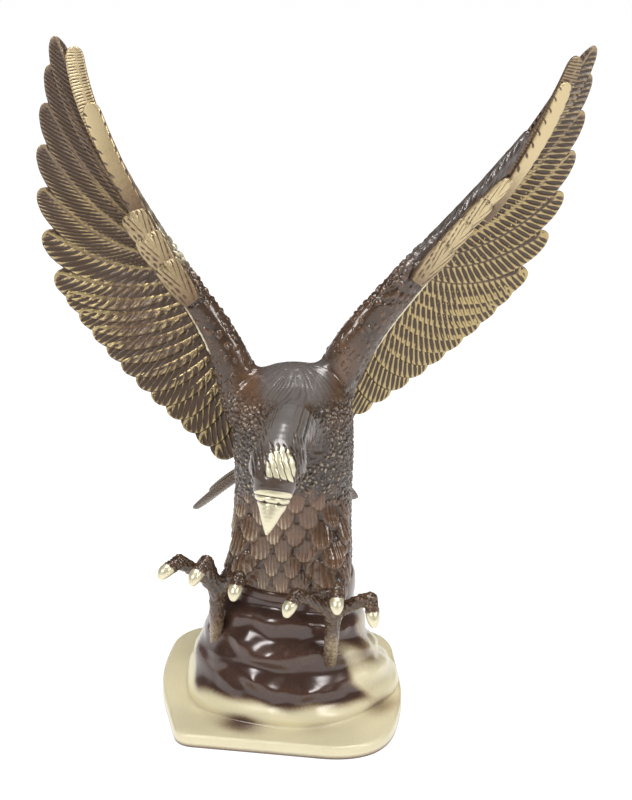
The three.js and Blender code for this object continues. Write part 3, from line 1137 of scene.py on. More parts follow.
@dataclass(frozen=True)
class Wing:
    """One raised wing: its set in space, and the feathers and arm that are laid out on it."""

    hand: Hand
    shoulder: Vec
    spread: float
    lean: float
    sweep: float
    size: float
    swell: float
    taper: float
    plan: Plan = Plan()

    def axes(self) -> tuple[Vector, Vector, Vector]:
        """Returns the directions along the span, along the chord and out of the front face.

        Returns:
            Three unit vectors.
        """
        hand = self.hand.value
        s, lean, w = math.radians(self.spread), math.radians(self.lean), math.radians(self.sweep)
        span = Vector((hand * math.sin(s) * math.cos(lean), math.sin(lean), math.cos(s) * math.cos(lean)))
        flat = Vector((hand * math.cos(s), 0, -math.sin(s)))
        face = span.cross(flat) * -hand
        return span, flat * math.cos(w) - face * math.sin(w), face * math.cos(w) + flat * math.sin(w)

    def place(self, a: float, b: float, lift: float = 0.0) -> Vec:
        """Places a point of the open wing in the part's frame.

        Args:
            a: how far along the span.
            b: how far down the chord.
            lift: how far off the front face.

        Returns:
            The point.
        """
        span, chord, face = self.axes()
        rise = lift + self.plan.camber * (b / self.plan.chord) ** 2
        at = Vector(self.shoulder) + (span * a + chord * b + face * rise) * self.size
        return (at.x, at.y, at.z + SEAT)

    def trailing(self, a: float) -> float:
        """Returns how far down the chord the wing's edge lies, for a place along the span.

        Args:
            a: how far along the span.

        Returns:
            The edge's distance down the chord.
        """
        plan = self.plan
        inner = max(plan.widest - a, 0) / plan.inner_run
        outer = max(a - plan.widest, 0) / plan.outer_run
        return plan.chord * (1 - self.taper * inner**1.7 - plan.outer_taper * outer**1.5)

    def feather(
        self,
        root: tuple[float, float],
        bend: tuple[float, float],
        tip: tuple[float, float],
        half: float,
        lift: float = 0.0,
        tilt: float = 0.0,
        **cut: float,
    ) -> Feather:
        """Lays one feather on the wing.

        Args:
            root: where its shaft starts, along and across the wing.
            bend: the point its shaft bends towards.
            tip: where it ends.
            half: its half width.
            lift: how far it stands off the wing's face.
            tilt: its turn about its own shaft.
            cut: how it is carved.

        Returns:
            The feather.
        """
        ends = [self.place(*at, lift) for at in (root, bend, tip)]
        run = (Vector(ends[2]) - Vector(ends[0])).normalized()
        _, _, face = self.axes()
        cosine, sine = math.cos(tilt), math.sin(tilt)
        turned = face * cosine + run.cross(face) * sine + run * run.dot(face) * (1 - cosine)
        return Feather(*ends, tuple(turned), half * self.size, **cut)

    def flight(self) -> list[Feather]:
        """Returns the wing's flight feathers, from the tip inwards.

        Returns:
            The feathers.
        """
        plan, laid = self.plan, []
        for i in range(plan.feathers):
            fan = 1 - min(i / plan.primaries, 1) ** 1.25
            inner = max(i - plan.primaries, 0)
            tip_a = plan.widest + (plan.primary_reach - plan.widest) * fan - plan.secondary_pitch * inner
            tip_b = self.trailing(tip_a)
            root = (plan.length * (0.49 - 0.032 * i), 6.0)
            bow = min(0.05 + 0.02 * i, 0.12) - max(i - plan.primaries - 2, 0) * 0.008
            bend_a = (root[0] + tip_a) / 2 - (tip_b - root[1]) * bow * 2
            bend_b = (root[1] + tip_b) / 2 + (tip_a - root[0]) * bow * 2
            half = 6 + 0.4 * i if i <= plan.primaries else 7.6
            laid.append(
                self.feather(
                    root,
                    (bend_a, bend_b),
                    (tip_a, tip_b),
                    half + 0.35,
                    -0.04 * i,
                    plan.tilt * self.hand.value,
                    half_thickness=0.95,
                    shaft=-0.4 * self.hand.value,
                    polish=self.polish_of(i),
                    **self.cut_of(i),
                )
            )
        return laid

    def cut_of(self, i: int) -> dict[str, float]:
        """Returns how a flight feather is carved, counted from the wing's tip.

        Args:
            i: the feather's number.

        Returns:
            The feather's cutting sizes.
        """
        if self.hand is Hand.RIGHT:
            return dict(pitch=3.1, slant=0.6, depth=0.9, share=0.76, spine=-0.6 if i > 3 else 0.6)
        if i < 5:
            return dict(pitch=2.8, slant=1.6, depth=0.7, share=0.9)
        return dict(pitch=4.1, slant=1.25, depth=1.0, share=1.0)

    def polish_of(self, i: int) -> float:
        """Returns how far a flight feather is rubbed, counted from the wing's tip.

        Args:
            i: the feather's number.

        Returns:
            The polish, from 0 to 1.
        """
        if self.hand is Hand.LEFT:
            return float(np.interp(i, [0, 4, 8, 10, 12, 15, 17], [0.52, 0.56, 0.74, 0.5, 0.62, 0.78, 0.72]))
        return float(np.interp(i, [0, 3, 6, 9, 13, 17], [0.6, 0.66, 0.78, 0.8, 0.76, 0.7]))

    def weather(self, piece: bpy.types.Object) -> None:
        """Browns the primaries towards their tips, and leaves a sandy patch near the left wing's foot.

        Args:
            piece: the wing's flight feathers.
        """
        mesh = piece.data
        places = np.empty(len(mesh.vertices) * 3, dtype=np.float32)
        mesh.vertices.foreach_get("co", places)
        offset = places.reshape(-1, 3) / MM - np.array([0, 0, SEAT]) - np.array(self.shoulder)
        span, chord, _ = (np.array(axis) for axis in self.axes())
        a, b = offset @ span / self.size, offset @ chord / self.size
        change = -0.26 * ease(a, 95, 150) + 0.1 * ease(b, 25, 50) * (1 - ease(a, 80, 110))
        if self.hand is Hand.LEFT:
            patch = bump(a, 46, 22) * bump(b, 34, 13)
            patch = ease(patch * (0.7 + 0.5 * pebbles(offset, 7.0)), 0.2, 0.75)
            change -= 0.25 * patch
            relief = read_values(mesh, "relief")
            sand = 0.42 + 0.5 * pebbles(offset, 1.5)
            write_values(mesh, "relief", relief + (sand - relief) * patch * 0.72)
        # Pale grey towards the primaries' tips, through the same grey mix of tone and painted sheen
        write_values(mesh, "grey_and_sheen", 0.35 * ease(a, 92, 130))
        write_values(mesh, "polish", read_values(mesh, "polish") + change)

    def fingers(self) -> list[Feather]:
        """Returns the long leading feathers and the short coverts that lie over them.

        Returns:
            The feathers, with the leading ones first.
        """
        flat = dict(blunt=1.0, spine=0.0)
        lined = flat | dict(pitch=1.5, depth=0.3, slant=0.0, share=0.4, start=0.0, fade=0.5)
        plain = flat | dict(pitch=6.0, depth=0.5, slant=1.0, share=0.3, start=0.62, fade=1.3)
        covert = flat | dict(pitch=8.0, depth=0.5, slant=4.0, share=0.2, fade=0.35)
        if self.hand is Hand.LEFT:
            rows = [
                ((96, 6), (142, 9), (167, -2.5), 4.6, 1.6, lined | dict(polish=0.66)),
                ((72, 5), (114, 8), (142, 3), 4.5, 3.8, plain | dict(polish=0.66)),
                ((70, 8), (80, 8.8), (90, 9.5), 6.6, 5.2, covert | dict(polish=0.36)),
                ((56, 6), (67, 7.3), (78, 8.5), 7.2, 5.8, covert | dict(polish=0.36)),
                ((40, 3.5), (52, 5.2), (63, 6.5), 6.6, 6.5, covert | dict(polish=0.3)),
            ]
        else:
            rows = [
                ((110, 8), (142, 9), (167, -2.5), 4.4, 1.6, lined | dict(polish=0.2)),
                ((88, 12), (128, 13), (156, 0), 4.0, 3.6, plain | dict(polish=1.0)),
                ((86, 4), (97, 6), (109, 9), 4.0, 4.2, covert | dict(polish=0.7, blunt=0.2)),
                ((73, 2), (85, 3.4), (96, 6), 5.2, 5.0, covert | dict(polish=0.58)),
                ((61, 1), (72, 1.8), (84, 3.8), 6.0, 5.6, covert | dict(polish=0.54)),
                ((49, 0), (60, 0.4), (71, 2), 6.6, 6.2, covert | dict(polish=0.46)),
            ]
        return [
            self.feather(root, bend, tip, half, lift, half_thickness=1.3, columns=28, step=0.4, **cut)
            for root, bend, tip, half, lift, cut in rows
        ]

    def arm(self) -> list[Joint]:
        """Returns the joints of the wing's leading edge, in the eagle's own frame.

        Returns:
            The joints, from the shoulder to the tip.
        """
        rows = [
            (-16, 6, 10, 9),
            (4, 1.5, 10.2, 8),
            (24, 0.5, 8.8, 6.6),
            (48, 2.5, 7.7, 5.8),
            (72, 5, 6.6, 5),
            (100, 6, 4.8, 3.8),
            (128, 5.5, 3.2, 2.6),
        ]
        joints = []
        for i, (a, b, wide, deep) in enumerate(rows):
            swell = self.swell * math.sin(math.pi * i / 6)
            x, y, z = self.place(a, b - swell)
            joints.append(Joint((x, y, z - SEAT), (wide + swell) * self.size, deep * self.size))
        return smooth_limb(joints)


# ---------------------------------------------------------------- the body


@dataclass(frozen=True)
class Body:
    """Trunk, neck, head and legs, in the eagle's own frame with its height counted from the seat."""

    trunk: tuple[tuple[float, ...], ...] = (
        (0, 1, 4, 27, 27),
        (10, 1, 3, 27.5, 28),
        (24, 1.5, 1, 26.5, 28),
        (39, 2, -1, 26, 28),
        (56, 2, -3, 26.5, 27),
        (72, 2, -3, 26.5, 25),
        (83, 2, 0, 25, 18),
        (88.5, 2, 2, 20, 11),
        (90.5, 2, 4, 12, 4),
    )
    neck: tuple[tuple[float, ...], ...] = (
        (3, -1, 80.5, 18, 11.5),
        (3, -15, 82.3, 13.5, 12),
        (1, -30, 82, 11, 11.6),
        (-2, -43, 79.8, 9.4, 10.6),
        (-4, -53, 74.5, 10.8, 11.4),
        (-5.5, -59, 67.5, 8.9, 9.2),
        (-6, -62, 61, 6.0, 6.2),
    )
    beak: tuple[tuple[float, ...], ...] = (
        (-5.8, -61, 65, 6.2, 6.3),
        (-6.6, -65, 59.5, 4.9, 4.8),
        (-7.6, -67.5, 54, 2.7, 3.2),
        (-8.4, -67.2, 49.5, 0.9, 1),
    )
    rump: tuple[tuple[float, ...], ...] = (
        (1, 8, 60, 19, 16),
        (-2, 27, 49, 15, 9),
        (-5, 43, 42, 14, 2.8),
    )
    thighs: tuple[tuple[tuple[float, ...], ...], ...] = (
        ((-12, -8, 38, 12, 13), (-17.5, -15, 18, 9.5, 10), (-24, -19, 7.5, 6, 6.4), (-32.5, -20, 0.5, 3.4, 3.6)),
        ((14, -12, 38, 12, 13), (18, -24, 18, 9.5, 9.5), (19.5, -31, 5, 6, 6.4), (19.5, -36, -5, 3.8, 4)),
    )

    @staticmethod
    def joints(rows: Iterable[Sequence[float]]) -> list[Joint]:
        """Returns a limb's smooth joints from rows of place, half width and half depth."""
        return smooth_limb([Joint(tuple(row[:3]), row[3], row[4]) for row in rows])

    def hackle(self) -> list[Joint]:
        """Returns the joints of the neck as far as the trunk's skin reaches."""
        return self.joints(self.neck[:5])

    def leg(self, n: int) -> tuple[list[Joint], list[Joint]]:
        """Returns a leg's joints in two parts: the thigh, and the shank that its foot's skin covers."""
        joints = self.joints(self.thighs[n])
        return joints[:9], joints[8:]

    def base(self, points: Points, wings: Sequence[Wing]) -> np.ndarray:
        """Gives the smooth body's field, without its head and feet.

        Args:
            points: the points.
            wings: the wings, whose arms grow out of the shoulders.

        Returns:
            The field.
        """
        trunk = self.joints((x, y, z, wide, deep) for z, x, y, wide, deep in self.trunk)
        field = np.maximum(limb_field(points, trunk), -points[:, 2])
        field = blend(field, limb_field(points, self.hackle()), 7)
        field = blend(field, limb_field(points, self.joints(self.rump)), 6)
        for wing in wings:
            shoulder = wing.arm()[:11]
            field = blend(field, limb_field(points, shoulder, tuple(wing.axes()[1])), 5)
        for n in range(len(self.thighs)):
            field = blend(field, limb_field(points, self.leg(n)[0]), 4)
        return np.maximum(field, -points[:, 2])


def chart(points: Points, joints: Sequence[Joint], side: Vec = (1.0, 0.0, 0.0)) -> tuple[np.ndarray, ...]:
    """Lays out points along a limb.

    Args:
        points: the points.
        joints: the limb's joints.
        side: the direction its sideways offset is measured in.

    Returns:
        The distance along the limb, the offset sideways, the offset upwards and the limb's half width.
    """
    near = np.full(len(points), np.inf)
    along, across, above, wide = (np.zeros(len(points)) for _ in range(4))
    gone = 0.0
    for run in stretches(joints, side):
        offset, t = run.read(points)
        distance = np.linalg.norm(offset - t[:, None] * run.ahead * run.length, axis=1)
        closer = distance < near
        near[closer] = distance[closer]
        along[closer] = (gone + t * run.length)[closer]
        across[closer] = (offset @ run.across)[closer]
        above[closer] = (offset @ run.up)[closer]
        wide[closer] = (run.a.wide + t * (run.b.wide - run.a.wide))[closer]
        gone += run.length
    return along, across, above, wide


def shuffle(cell: np.ndarray, seed: float) -> np.ndarray:
    """Returns a fixed number from 0 to 1 for each cell of a grid.

    Args:
        cell: the cells' whole-numbered places.
        seed: which set of numbers to give.

    Returns:
        One number for each cell.
    """
    stride = np.array([127.1, 311.7, 74.7][: cell.shape[1]])
    value = np.sin(cell @ stride + seed * 17.3) * 43758.5453
    return value - np.floor(value)


def pebbles(points: Points, size: float, soft: float = 0.45) -> np.ndarray:
    """Heights of rounded lumps that are scattered over a surface.

    Args:
        points: the points.
        size: the lumps' spacing.
        soft: how wide the slopes between them are.

    Returns:
        Heights from 0 between the lumps to 1 at their tops.
    """
    grid = points / size
    base = np.floor(grid)
    near = np.full(len(points), 9.0)
    second = np.full(len(points), 9.0)
    for shift in product((-1, 0, 1), repeat=3):
        cell = base + np.array(shift)
        centre = cell + np.stack([shuffle(cell, n) for n in (1.0, 2.0, 3.0)], axis=1)
        distance = np.linalg.norm(grid - centre, axis=1)
        second = np.minimum(second, np.maximum(distance, near))
        near = np.minimum(near, distance)
    return ease(second - near, 0.0, soft)


def strokes(a: np.ndarray, b: np.ndarray, length: float, pitch: float, width: float = 0.3) -> np.ndarray:
    """Depths of staggered lens-shaped cuts that run along a.

    Args:
        a: distance along the cuts.
        b: distance across them.
        length: a cut's length.
        pitch: the step between rows of cuts.
        width: a cut's width as a share of the step.

    Returns:
        Depths from 0 on the plain surface to 1 in a cut.
    """
    row = np.floor(b / pitch)
    shift = shuffle(row[:, None], 5.0)
    place = a / length + shift + (row % 2) * 0.5
    cut = place - np.floor(place)
    across = b / pitch - row - 0.5
    lens = np.sin(np.pi * np.clip(cut * 1.15, 0, 1)) ** 0.7
    return np.clip(lens * np.exp(-((across / width) ** 2)), 0, 1)


@dataclass(frozen=True)
class Carving:
    """How deep the body is cut, in millimetres."""

    scale: float = 1.9
    hatch: float = 0.25
    pebble: float = 1.0
    stroke: float = 0.55
    arm_scale: float = 2.2
    arm_stroke: float = 0.5
    slot: float = 0.5
    cheek_stroke: float = 0.45
    band: float = 0.4
    mouth: float = 0.55
    nostril: float = 0.5
    step: float = 0.62
    head_step: float = 0.4
    foot_step: float = 0.5


@dataclass(frozen=True)
class Pelt:
    """Skins for the eagle's body, head, arms and feet, with what is engraved on them."""

    body: Body
    wings: tuple[Wing, ...]
    finish: bpy.types.Material
    cut: Carving = Carving()

    def piece(self, name: str, hide: Skin, lift: np.ndarray, **attributes: np.ndarray) -> bpy.types.Object:
        """Makes a piece at the eagle's height.

        Args:
            name: the piece's name.
            hide: its skin, in the eagle's own frame.
            lift: how far the carving stands out at each corner.
            attributes: what the finish reads at each corner.

        Returns:
            The piece.
        """
        verts = hide.verts + hide.normals * lift[:, None] + np.array([0, 0, SEAT])
        return mesh_from(name, verts, hide.faces.tolist(), self.finish, attributes)

    def trunk(self) -> bpy.types.Object:
        """Makes the body: scales on the breast, stippled flanks and cuts along the neck.

        Returns:
            The piece.
        """

        def field_at(points: Points) -> np.ndarray:
            """Gives the body's field."""
            return self.body.base(points, self.wings)

        hide = skin("trunk", field_at, (-48, -52, -1.5), (50, 62, 128), self.cut.step)
        verts, cut = hide.verts, self.cut
        x, y, z = verts.T
        turn = np.arctan2(x - 2, -(y - 1))
        around = turn * 26
        along, across, above, wide = chart(verts, self.body.hackle())
        on_neck = ease(-y, 22, 30) * ease(z, 62, 70)
        ragged = 5 * (pebbles(verts, 8.0) - 0.5)
        breast = ease(50 + 6 * np.cos(turn * 2) + ragged - z, 0, 9) * (1 - on_neck)
        breast *= ease(1.3 - np.abs(turn + 0.12) + 0.04 * ragged, 0, 0.3)
        back = ease(np.abs(turn), 1.5, 1.9) * (1 - on_neck)
        top = ease(z, 84, 94) * (1 - back * 0.4)
        flank = (1 - np.maximum(breast, np.maximum(on_neck, top))) * (1 - back)

        wobble = 1.2 * np.sin(y / 5.0 + z / 9.0)
        scales = shingles(-z + 3 * np.cos(turn) + 0.05 * around**2 / 10, around + wobble, 8.4, 9.4)
        hatch = np.cos(around * 2 * np.pi / 1.5 + 0.6 * np.sin(z / 2.0)) * ease(scales, 0.2, 0.4)
        plumes = shingles(-z + y * 0.3, around, 9.5, 10.5)
        lumps = pebbles(verts + 0.5 * np.sin(verts[:, [1, 2, 0]] / 1.1), 2.0)
        angle = np.arctan2(across, above)
        side_cuts = strokes(along + np.abs(angle) * 6, angle * wide, 7.0, 1.5)
        side_cuts *= ease(np.abs(angle), 0.35, 0.8)
        shoulder_cuts = strokes(along * 0.6 + z * 0.3, around * 0.7 + along * 0.3, 9.0, 1.9, 0.24) * 0.7

        lift = breast * (cut.scale * (scales - 0.55) + cut.hatch * hatch)
        lift += back * cut.scale * (plumes - 0.6) * (1 - top)
        lift += flank * cut.pebble * (lumps - 0.6)
        lift -= cut.stroke * (on_neck * side_cuts + top * 0.7 * shoulder_cuts)
        lift *= ease(z, 0.3, 2.0)
        relief = 0.5 + breast * ((scales - 0.5) * 0.6 + hatch * 0.16)
        relief += back * (plumes - 0.5) * 0.5 * (1 - top) + flank * (lumps - 0.55) * 0.75
        relief -= (on_neck * side_cuts + top * 0.8 * shoulder_cuts) * 0.35
        polish = 0.14 + 0.1 * flank + 0.16 * breast * ease(-x, -6, 8) + 0.05 * back
        # Painted sheen: pale grey along the neck's centre and the top of the back stands in for the lacquer's
        # reflection of the sky; the flanks get a light grey tone
        ridge = on_neck * (1 - ease(np.abs(angle), 0.3, 0.75))
        ridge += (1 - on_neck) * top * (1 - ease(np.abs(x - 3), 11, 19))
        grey_and_sheen = np.clip(ridge, 0, 1) * (1 - ease(y, 10, 24)) * 0.9 + flank * 0.25
        cheek = bump(np.abs(x - 3), 22, 7) * ease(z, 70, 80) * ease(-y, -6, 4)
        copper = breast * (0.35 + 0.45 * scales) + 0.85 * cheek + 0.1
        return self.piece("eagle_trunk", hide, lift, relief=relief, polish=polish, grey_and_sheen=grey_and_sheen, copper=copper)

    def head(self) -> bpy.types.Object:
        """Makes the head: brows, eyes, a rubbed crown between slanting cuts, the cere and the beak.

        Returns:
            The piece.
        """
        neck = self.body.joints(self.body.neck[3:])
        beak = self.body.joints(self.body.beak)
        chain = neck[:-1] + beak[2:]
        collar = self.body.hackle()

        def field_at(points: Points) -> np.ndarray:
            """Gives the head's field.

            Args:
                points: the points.

            Returns:
                The field there.
            """
            skull = limb_field(points, neck)
            skull = blend(skull, ball(points, (-3.9, -53.0, 75.8), (11.2, 10.5, 10.4)), 3)
            hackle = np.maximum(limb_field(points, collar) - 0.25, points[:, 1] + 31)
            skull = blend(skull, hackle, 3)
            for hand in (-1, 1):
                socket = (-5.1 + hand * 10.6, -58.5, 69.5)
                skull = -blend(-skull, ball(points, socket, (2.9, 3.4, 2.8)), 1.2)
                skull = blend(skull, ball(points, (-4.7 + hand * 8.2, -57.6, 73.0), (1.6, 4.8, 1.4)), 1.8)
                skull = np.minimum(skull, ball(points, (-5.1 + hand * 8.0, -58.4, 69.6), (1.9, 2.2, 2.1)))
            return blend(skull, limb_field(points, beak), 1.2)

        hide = skin("head", field_at, (-24, -76, 46), (18, -28, 100), self.cut.head_step)
        verts, cut = hide.verts, self.cut
        along, across, above, _ = chart(verts, chain)
        angle = np.arctan2(across, above)
        upper = ease(above, -1.0, 3.0)

        # The rubbed crown, pointed at the back, between slanting slots
        patch = ease(along, 10.0, 12.5) * (1 - ease(along, 18.8, 20.2))
        patch *= ease(across, -4.5, -2.5) * (1 - ease(across, 7.6, 9.0)) * upper
        point = np.abs((across - 2.5) / 5.2) * 3.4
        patch *= ease(along - point, 8.6, 10.6)
        slant = (across - 0.62 * (along - 15)) / 3.0
        slots = bump(slant - np.round(slant), 0, 0.12) * ease(along, 8.5, 10.5) * (1 - ease(along, 19, 20.5))
        slots *= ease(across, -5, -3) * (1 - ease(across, 8, 9.5)) * upper
        sides = strokes(along * 1.1 + np.abs(across) * 0.8, across * 1.6 - along * 0.5, 8.0, 2.2, 0.26)
        sides *= (1 - ease(along, 18, 20.5)) * (1 - patch) * ease(np.abs(angle), 0.25, 0.6)

        # The bill and its bands, measured down the beak's own axis
        start, end = (np.array(self.body.beak[n][:3]) for n in (0, -1))
        down = (end - start) / np.linalg.norm(end - start)
        reach = (verts - start) @ down
        off = np.linalg.norm(verts - start - reach[:, None] * down, axis=1)
        near = 1 - ease(off, 7.6, 8.4)
        bill = ease(reach, -1.6, -1.2) * near
        ripple = np.cos((reach - 0.1) * 2 * np.pi / 2.7) * (1 - ease(reach, 4, 6))
        bands = (bump(reach, 1.7, 0.42) + bump(reach, 4.3, 0.46) + bump(reach, -1.5, 0.4)) * near
        mouth = bump(above + (along - 30) * 0.04, -1.6, 0.4) * ease(along, 24, 26) * (1 - ease(along, 36, 39))
        nostril = bump(along, 29.6, 0.9) * bump(np.abs(across), 3.2, 0.8) * upper

        lift = 0.08 * bill * ripple - cut.slot * slots - cut.cheek_stroke * sides
        lift -= cut.band * bands + cut.mouth * mouth + cut.nostril * nostril
        relief = 0.5 + 0.45 * patch + 0.5 * bill - 1.4 * slots - 0.3 * sides
        relief -= 1.3 * bands + 0.9 * mouth + 0.9 * nostril
        polish = 0.1 + 0.95 * patch + 0.95 * bill
        # Painted sheen: pale grey on the upper side of the head, away from the crown and bill, stands in for the
        # lacquer's reflection of the sky
        grey_and_sheen = 0.75 * (1 - ease(along, 6, 16)) * (1 - 0.5 * sides) + 0.3 * (1 - sides)
        grey_and_sheen *= (1 - patch) * (1 - bill) * upper
        copper = 0.35 * (1 - upper) + 0.2
        return self.piece("eagle_head", hide, lift, relief=relief, polish=polish, grey_and_sheen=grey_and_sheen, copper=copper)

    def arm(self, wing: Wing) -> bpy.types.Object:
        """Makes one wing's leading edge: scales by the shoulder that run out into long cuts.

        Args:
            wing: the wing.

        Returns:
            The piece.
        """
        joints = wing.arm()
        places = np.array([j.at for j in joints])
        chord = tuple(wing.axes()[1])

        def field_at(points: Points) -> np.ndarray:
            """Gives the arm's field."""
            return limb_field(points, joints, chord)

        low, high = places.min(axis=0) - 13, places.max(axis=0) + 13
        hide = skin("arm", field_at, tuple(low), tuple(high), self.cut.step)
        along, across, above, wide = chart(hide.verts, joints, chord)
        angle = np.arctan2(above, across)
        turn = angle * wide
        left = wing.hand is Hand.LEFT
        inner = 1 - ease(along, 74, 92)
        outer = 1 - inner
        row, column, lump = (4.6, 4.4, 4.2) if left else (6.5, 4.2, 3.4)
        scales = 0.5 * shingles(along + 1.5 * np.sin(turn / 3), turn, row, column)
        scales += 0.5 * pebbles(hide.verts, lump)
        cuts = strokes(along, turn + 0.12 * along, 9.0, 1.6, 0.28)
        deep = self.cut.arm_scale * (1.0 if left else 0.7)
        ledge = bump(np.abs(angle), 0.62, 0.1) * ease(along, 22, 34) * inner
        lift = deep * inner * (scales - 0.6) * (1 - ledge) + 0.5 * ledge - outer * self.cut.arm_stroke * cuts
        relief = 0.5 + inner * (scales - 0.5) * 0.5 + 0.4 * ledge - outer * 0.35 * cuts
        polish = 0.16 + ease(along, 50, 74) * (0.5 if left else 0.12) + 0.5 * ledge
        # Pale grey towards the arm's outer part, strongest on the right arm: partly grey tone, partly painted
        # sheen
        grey_and_sheen = ease(along, 56, 78) * (0.15 if left else 0.85) * (1 - 0.5 * cuts)
        copper = inner * 0.4 * scales
        name = f"eagle_arm_{wing.hand.name.lower()}"
        return self.piece(name, hide, lift, relief=relief, polish=polish, grey_and_sheen=grey_and_sheen, copper=copper)


def round_joints(*rows: tuple[Vec, float]) -> list[Joint]:
    """Returns a round limb's joints from rows of place and radius."""
    return [Joint(at, radius, radius) for at, radius in rows]


def between(a: Vec, b: Vec, share: float, rise: float) -> Vec:
    """Returns the place at a share of the way from a to b, raised a little."""
    x, y, z = (p + (q - p) * share for p, q in zip(a, b))
    return (x, y, z + rise)


@dataclass(frozen=True)
class Talon:
    """One foot: where its toes leave the leg, where they end, and where the hind toe stands."""

    hand: Hand
    hub: Vec
    toes: tuple[tuple[Vec, Vec], ...]
    hind: tuple[float, float]
    ledge: float

    def bones(self) -> list[list[Joint]]:
        """Returns the joints of the toes and, last, of the hind toe.

        Returns:
            One list of joints for each toe.
        """
        found = []
        for knuckle, _ in self.toes:
            arch = between(self.hub, knuckle, 0.55, 1.4)
            found.append(round_joints((self.hub, 3.1), (arch, 2.9), (knuckle, 3.35)))
        x, y = self.hind
        hx, hy, hz = self.hub
        middle = (hx + (x - hx) * 0.5, hy + (y - hy) * 0.35, (hz + self.ledge) / 2)
        found.append(round_joints((self.hub, 3.6), (middle, 3.3), ((x, y, self.ledge), 3.0)))
        return found

    def claws(self) -> list[list[Joint]]:
        """Returns the claws' joints.

        Returns:
            One list of joints for each claw.
        """
        found = []
        for knuckle, claw in self.toes:
            near = between(knuckle, claw, 0.75, 0.8)
            found.append(round_joints((knuckle, 2.9), (near, 3.1), (claw, 2.0)))
        return found

    def piece(self, name: str, shank: Sequence[Joint], pelt: Pelt) -> bpy.types.Object:
        """Makes the foot: dark wrinkled toes with pale rubbed claws.

        Args:
            name: the piece's name.
            shank: the joints of the leg's lower part.
            pelt: the skins it belongs with.

        Returns:
            The piece.
        """
        bones = [smooth_limb(bone) for bone in self.bones()]
        claws = [smooth_limb(claw) for claw in self.claws()]
        claw_side = (0.9, 0.3, 0.1)

        def field_at(points: Points) -> np.ndarray:
            """Gives the foot's field.

            Args:
                points: the points.

            Returns:
                The field there.
            """
            field = limb_field(points, shank)
            for bone in bones:
                field = blend(field, limb_field(points, bone), 1.6)
            for claw in claws:
                field = blend(field, limb_field(points, claw, claw_side), 0.6)
            return field

        places = np.array([j.at for limb in (*bones, *claws, shank) for j in limb])
        low, high = places.min(axis=0) - 8, places.max(axis=0) + 8
        hide = skin(name, field_at, tuple(low), tuple(high), pelt.cut.foot_step)
        verts = hide.verts
        bone_near = np.min([limb_field(verts, bone) for bone in bones[:-1]], axis=0)
        claw_near = np.min([limb_field(verts, claw, claw_side) for claw in claws], axis=0)
        tips = np.array([claw[-1].at for claw in claws])
        to_tip = np.min(np.linalg.norm(verts[:, None, :] - tips[None], axis=2), axis=1)
        nail = ease(bone_near - claw_near, 0.0, 0.8) * (1 - ease(to_tip, 5.0, 6.5))
        wrinkle = np.cos(verts @ np.array([1.2, 1.9, 1.0]) * 1.7)
        lumps = pebbles(verts, 3.1)
        strut = 1 - ease(verts[:, 2], -20, -4)
        lift = (1 - nail) * (0.18 * wrinkle + 0.4 * (lumps - 0.6)) * (1 - 0.5 * strut)
        lift *= ease(verts[:, 2], self.ledge - 1, self.ledge + 3)
        hide_relief = (0.3 * (lumps - 0.5) + 0.06 * wrinkle) * (1 - 0.7 * strut)
        relief = 0.5 + (1 - nail) * hide_relief + 0.4 * nail
        polish = 0.2 + 0.56 * nail + 0.3 * strut
        return pelt.piece(name, hide, lift, relief=relief, polish=polish, copper=0.25 + 0.25 * strut)


# ---------------------------------------------------------------- the tail


@dataclass(frozen=True)
class Tail:
    """The fan of tail feathers, which droops behind the body to the left."""

    root: Vec = (-2, 22, 52)
    root_spread: float = 8.0
    yaw: float = 9.0
    drop: float = 31.0
    arch: float = 24.0
    half_fan: float = 30.0
    length: float = 72.0
    count: int = 7

    def feathers(self) -> list[Feather]:
        """Returns the tail's feathers.

        Returns:
            The feathers, from one side of the fan to the other.
        """
        yaw, drop = math.radians(self.yaw), math.radians(self.drop)
        back = Vector((-math.sin(yaw) * math.cos(drop), math.cos(yaw) * math.cos(drop), -math.sin(drop)))
        level = Vector((-math.cos(yaw), -math.sin(yaw), 0))
        up = back.cross(level)
        laid = []
        for i in range(self.count):
            share = 2 * i / (self.count - 1) - 1
            fan, arch = math.radians(self.half_fan) * share, math.radians(self.arch) * abs(share)
            outward = level * math.copysign(1, share or 1) * math.cos(arch) - up * math.sin(arch)
            root = Vector(self.root) + outward * abs(share) * self.root_spread + Vector((0, 0, SEAT))
            sideways = level * math.cos(arch) - up * math.sin(arch) * math.copysign(1, share or 1)
            run = back * math.cos(fan) + sideways * math.sin(fan)
            reach = self.length * (1 - 0.08 * abs(share))
            turn = -math.radians(self.arch) * share
            face = up * math.cos(turn) + back.cross(up) * math.sin(turn)
            tip = root + run * reach
            bend = (root + tip) / 2 + face * 2.5
            laid.append(
                Feather(
                    tuple(root),
                    tuple(bend),
                    tuple(tip),
                    tuple(face),
                    7.4,
                    half_thickness=1.4,
                    pitch=2.8,
                    slant=1.0,
                    shaft=0.0,
                    polish=0.3,
                    depth=0.6,
                    blunt=0.7,
                )
            )
        return laid


# ---------------------------------------------------------------- the plinth


Ring = tuple[np.ndarray, np.ndarray, float]


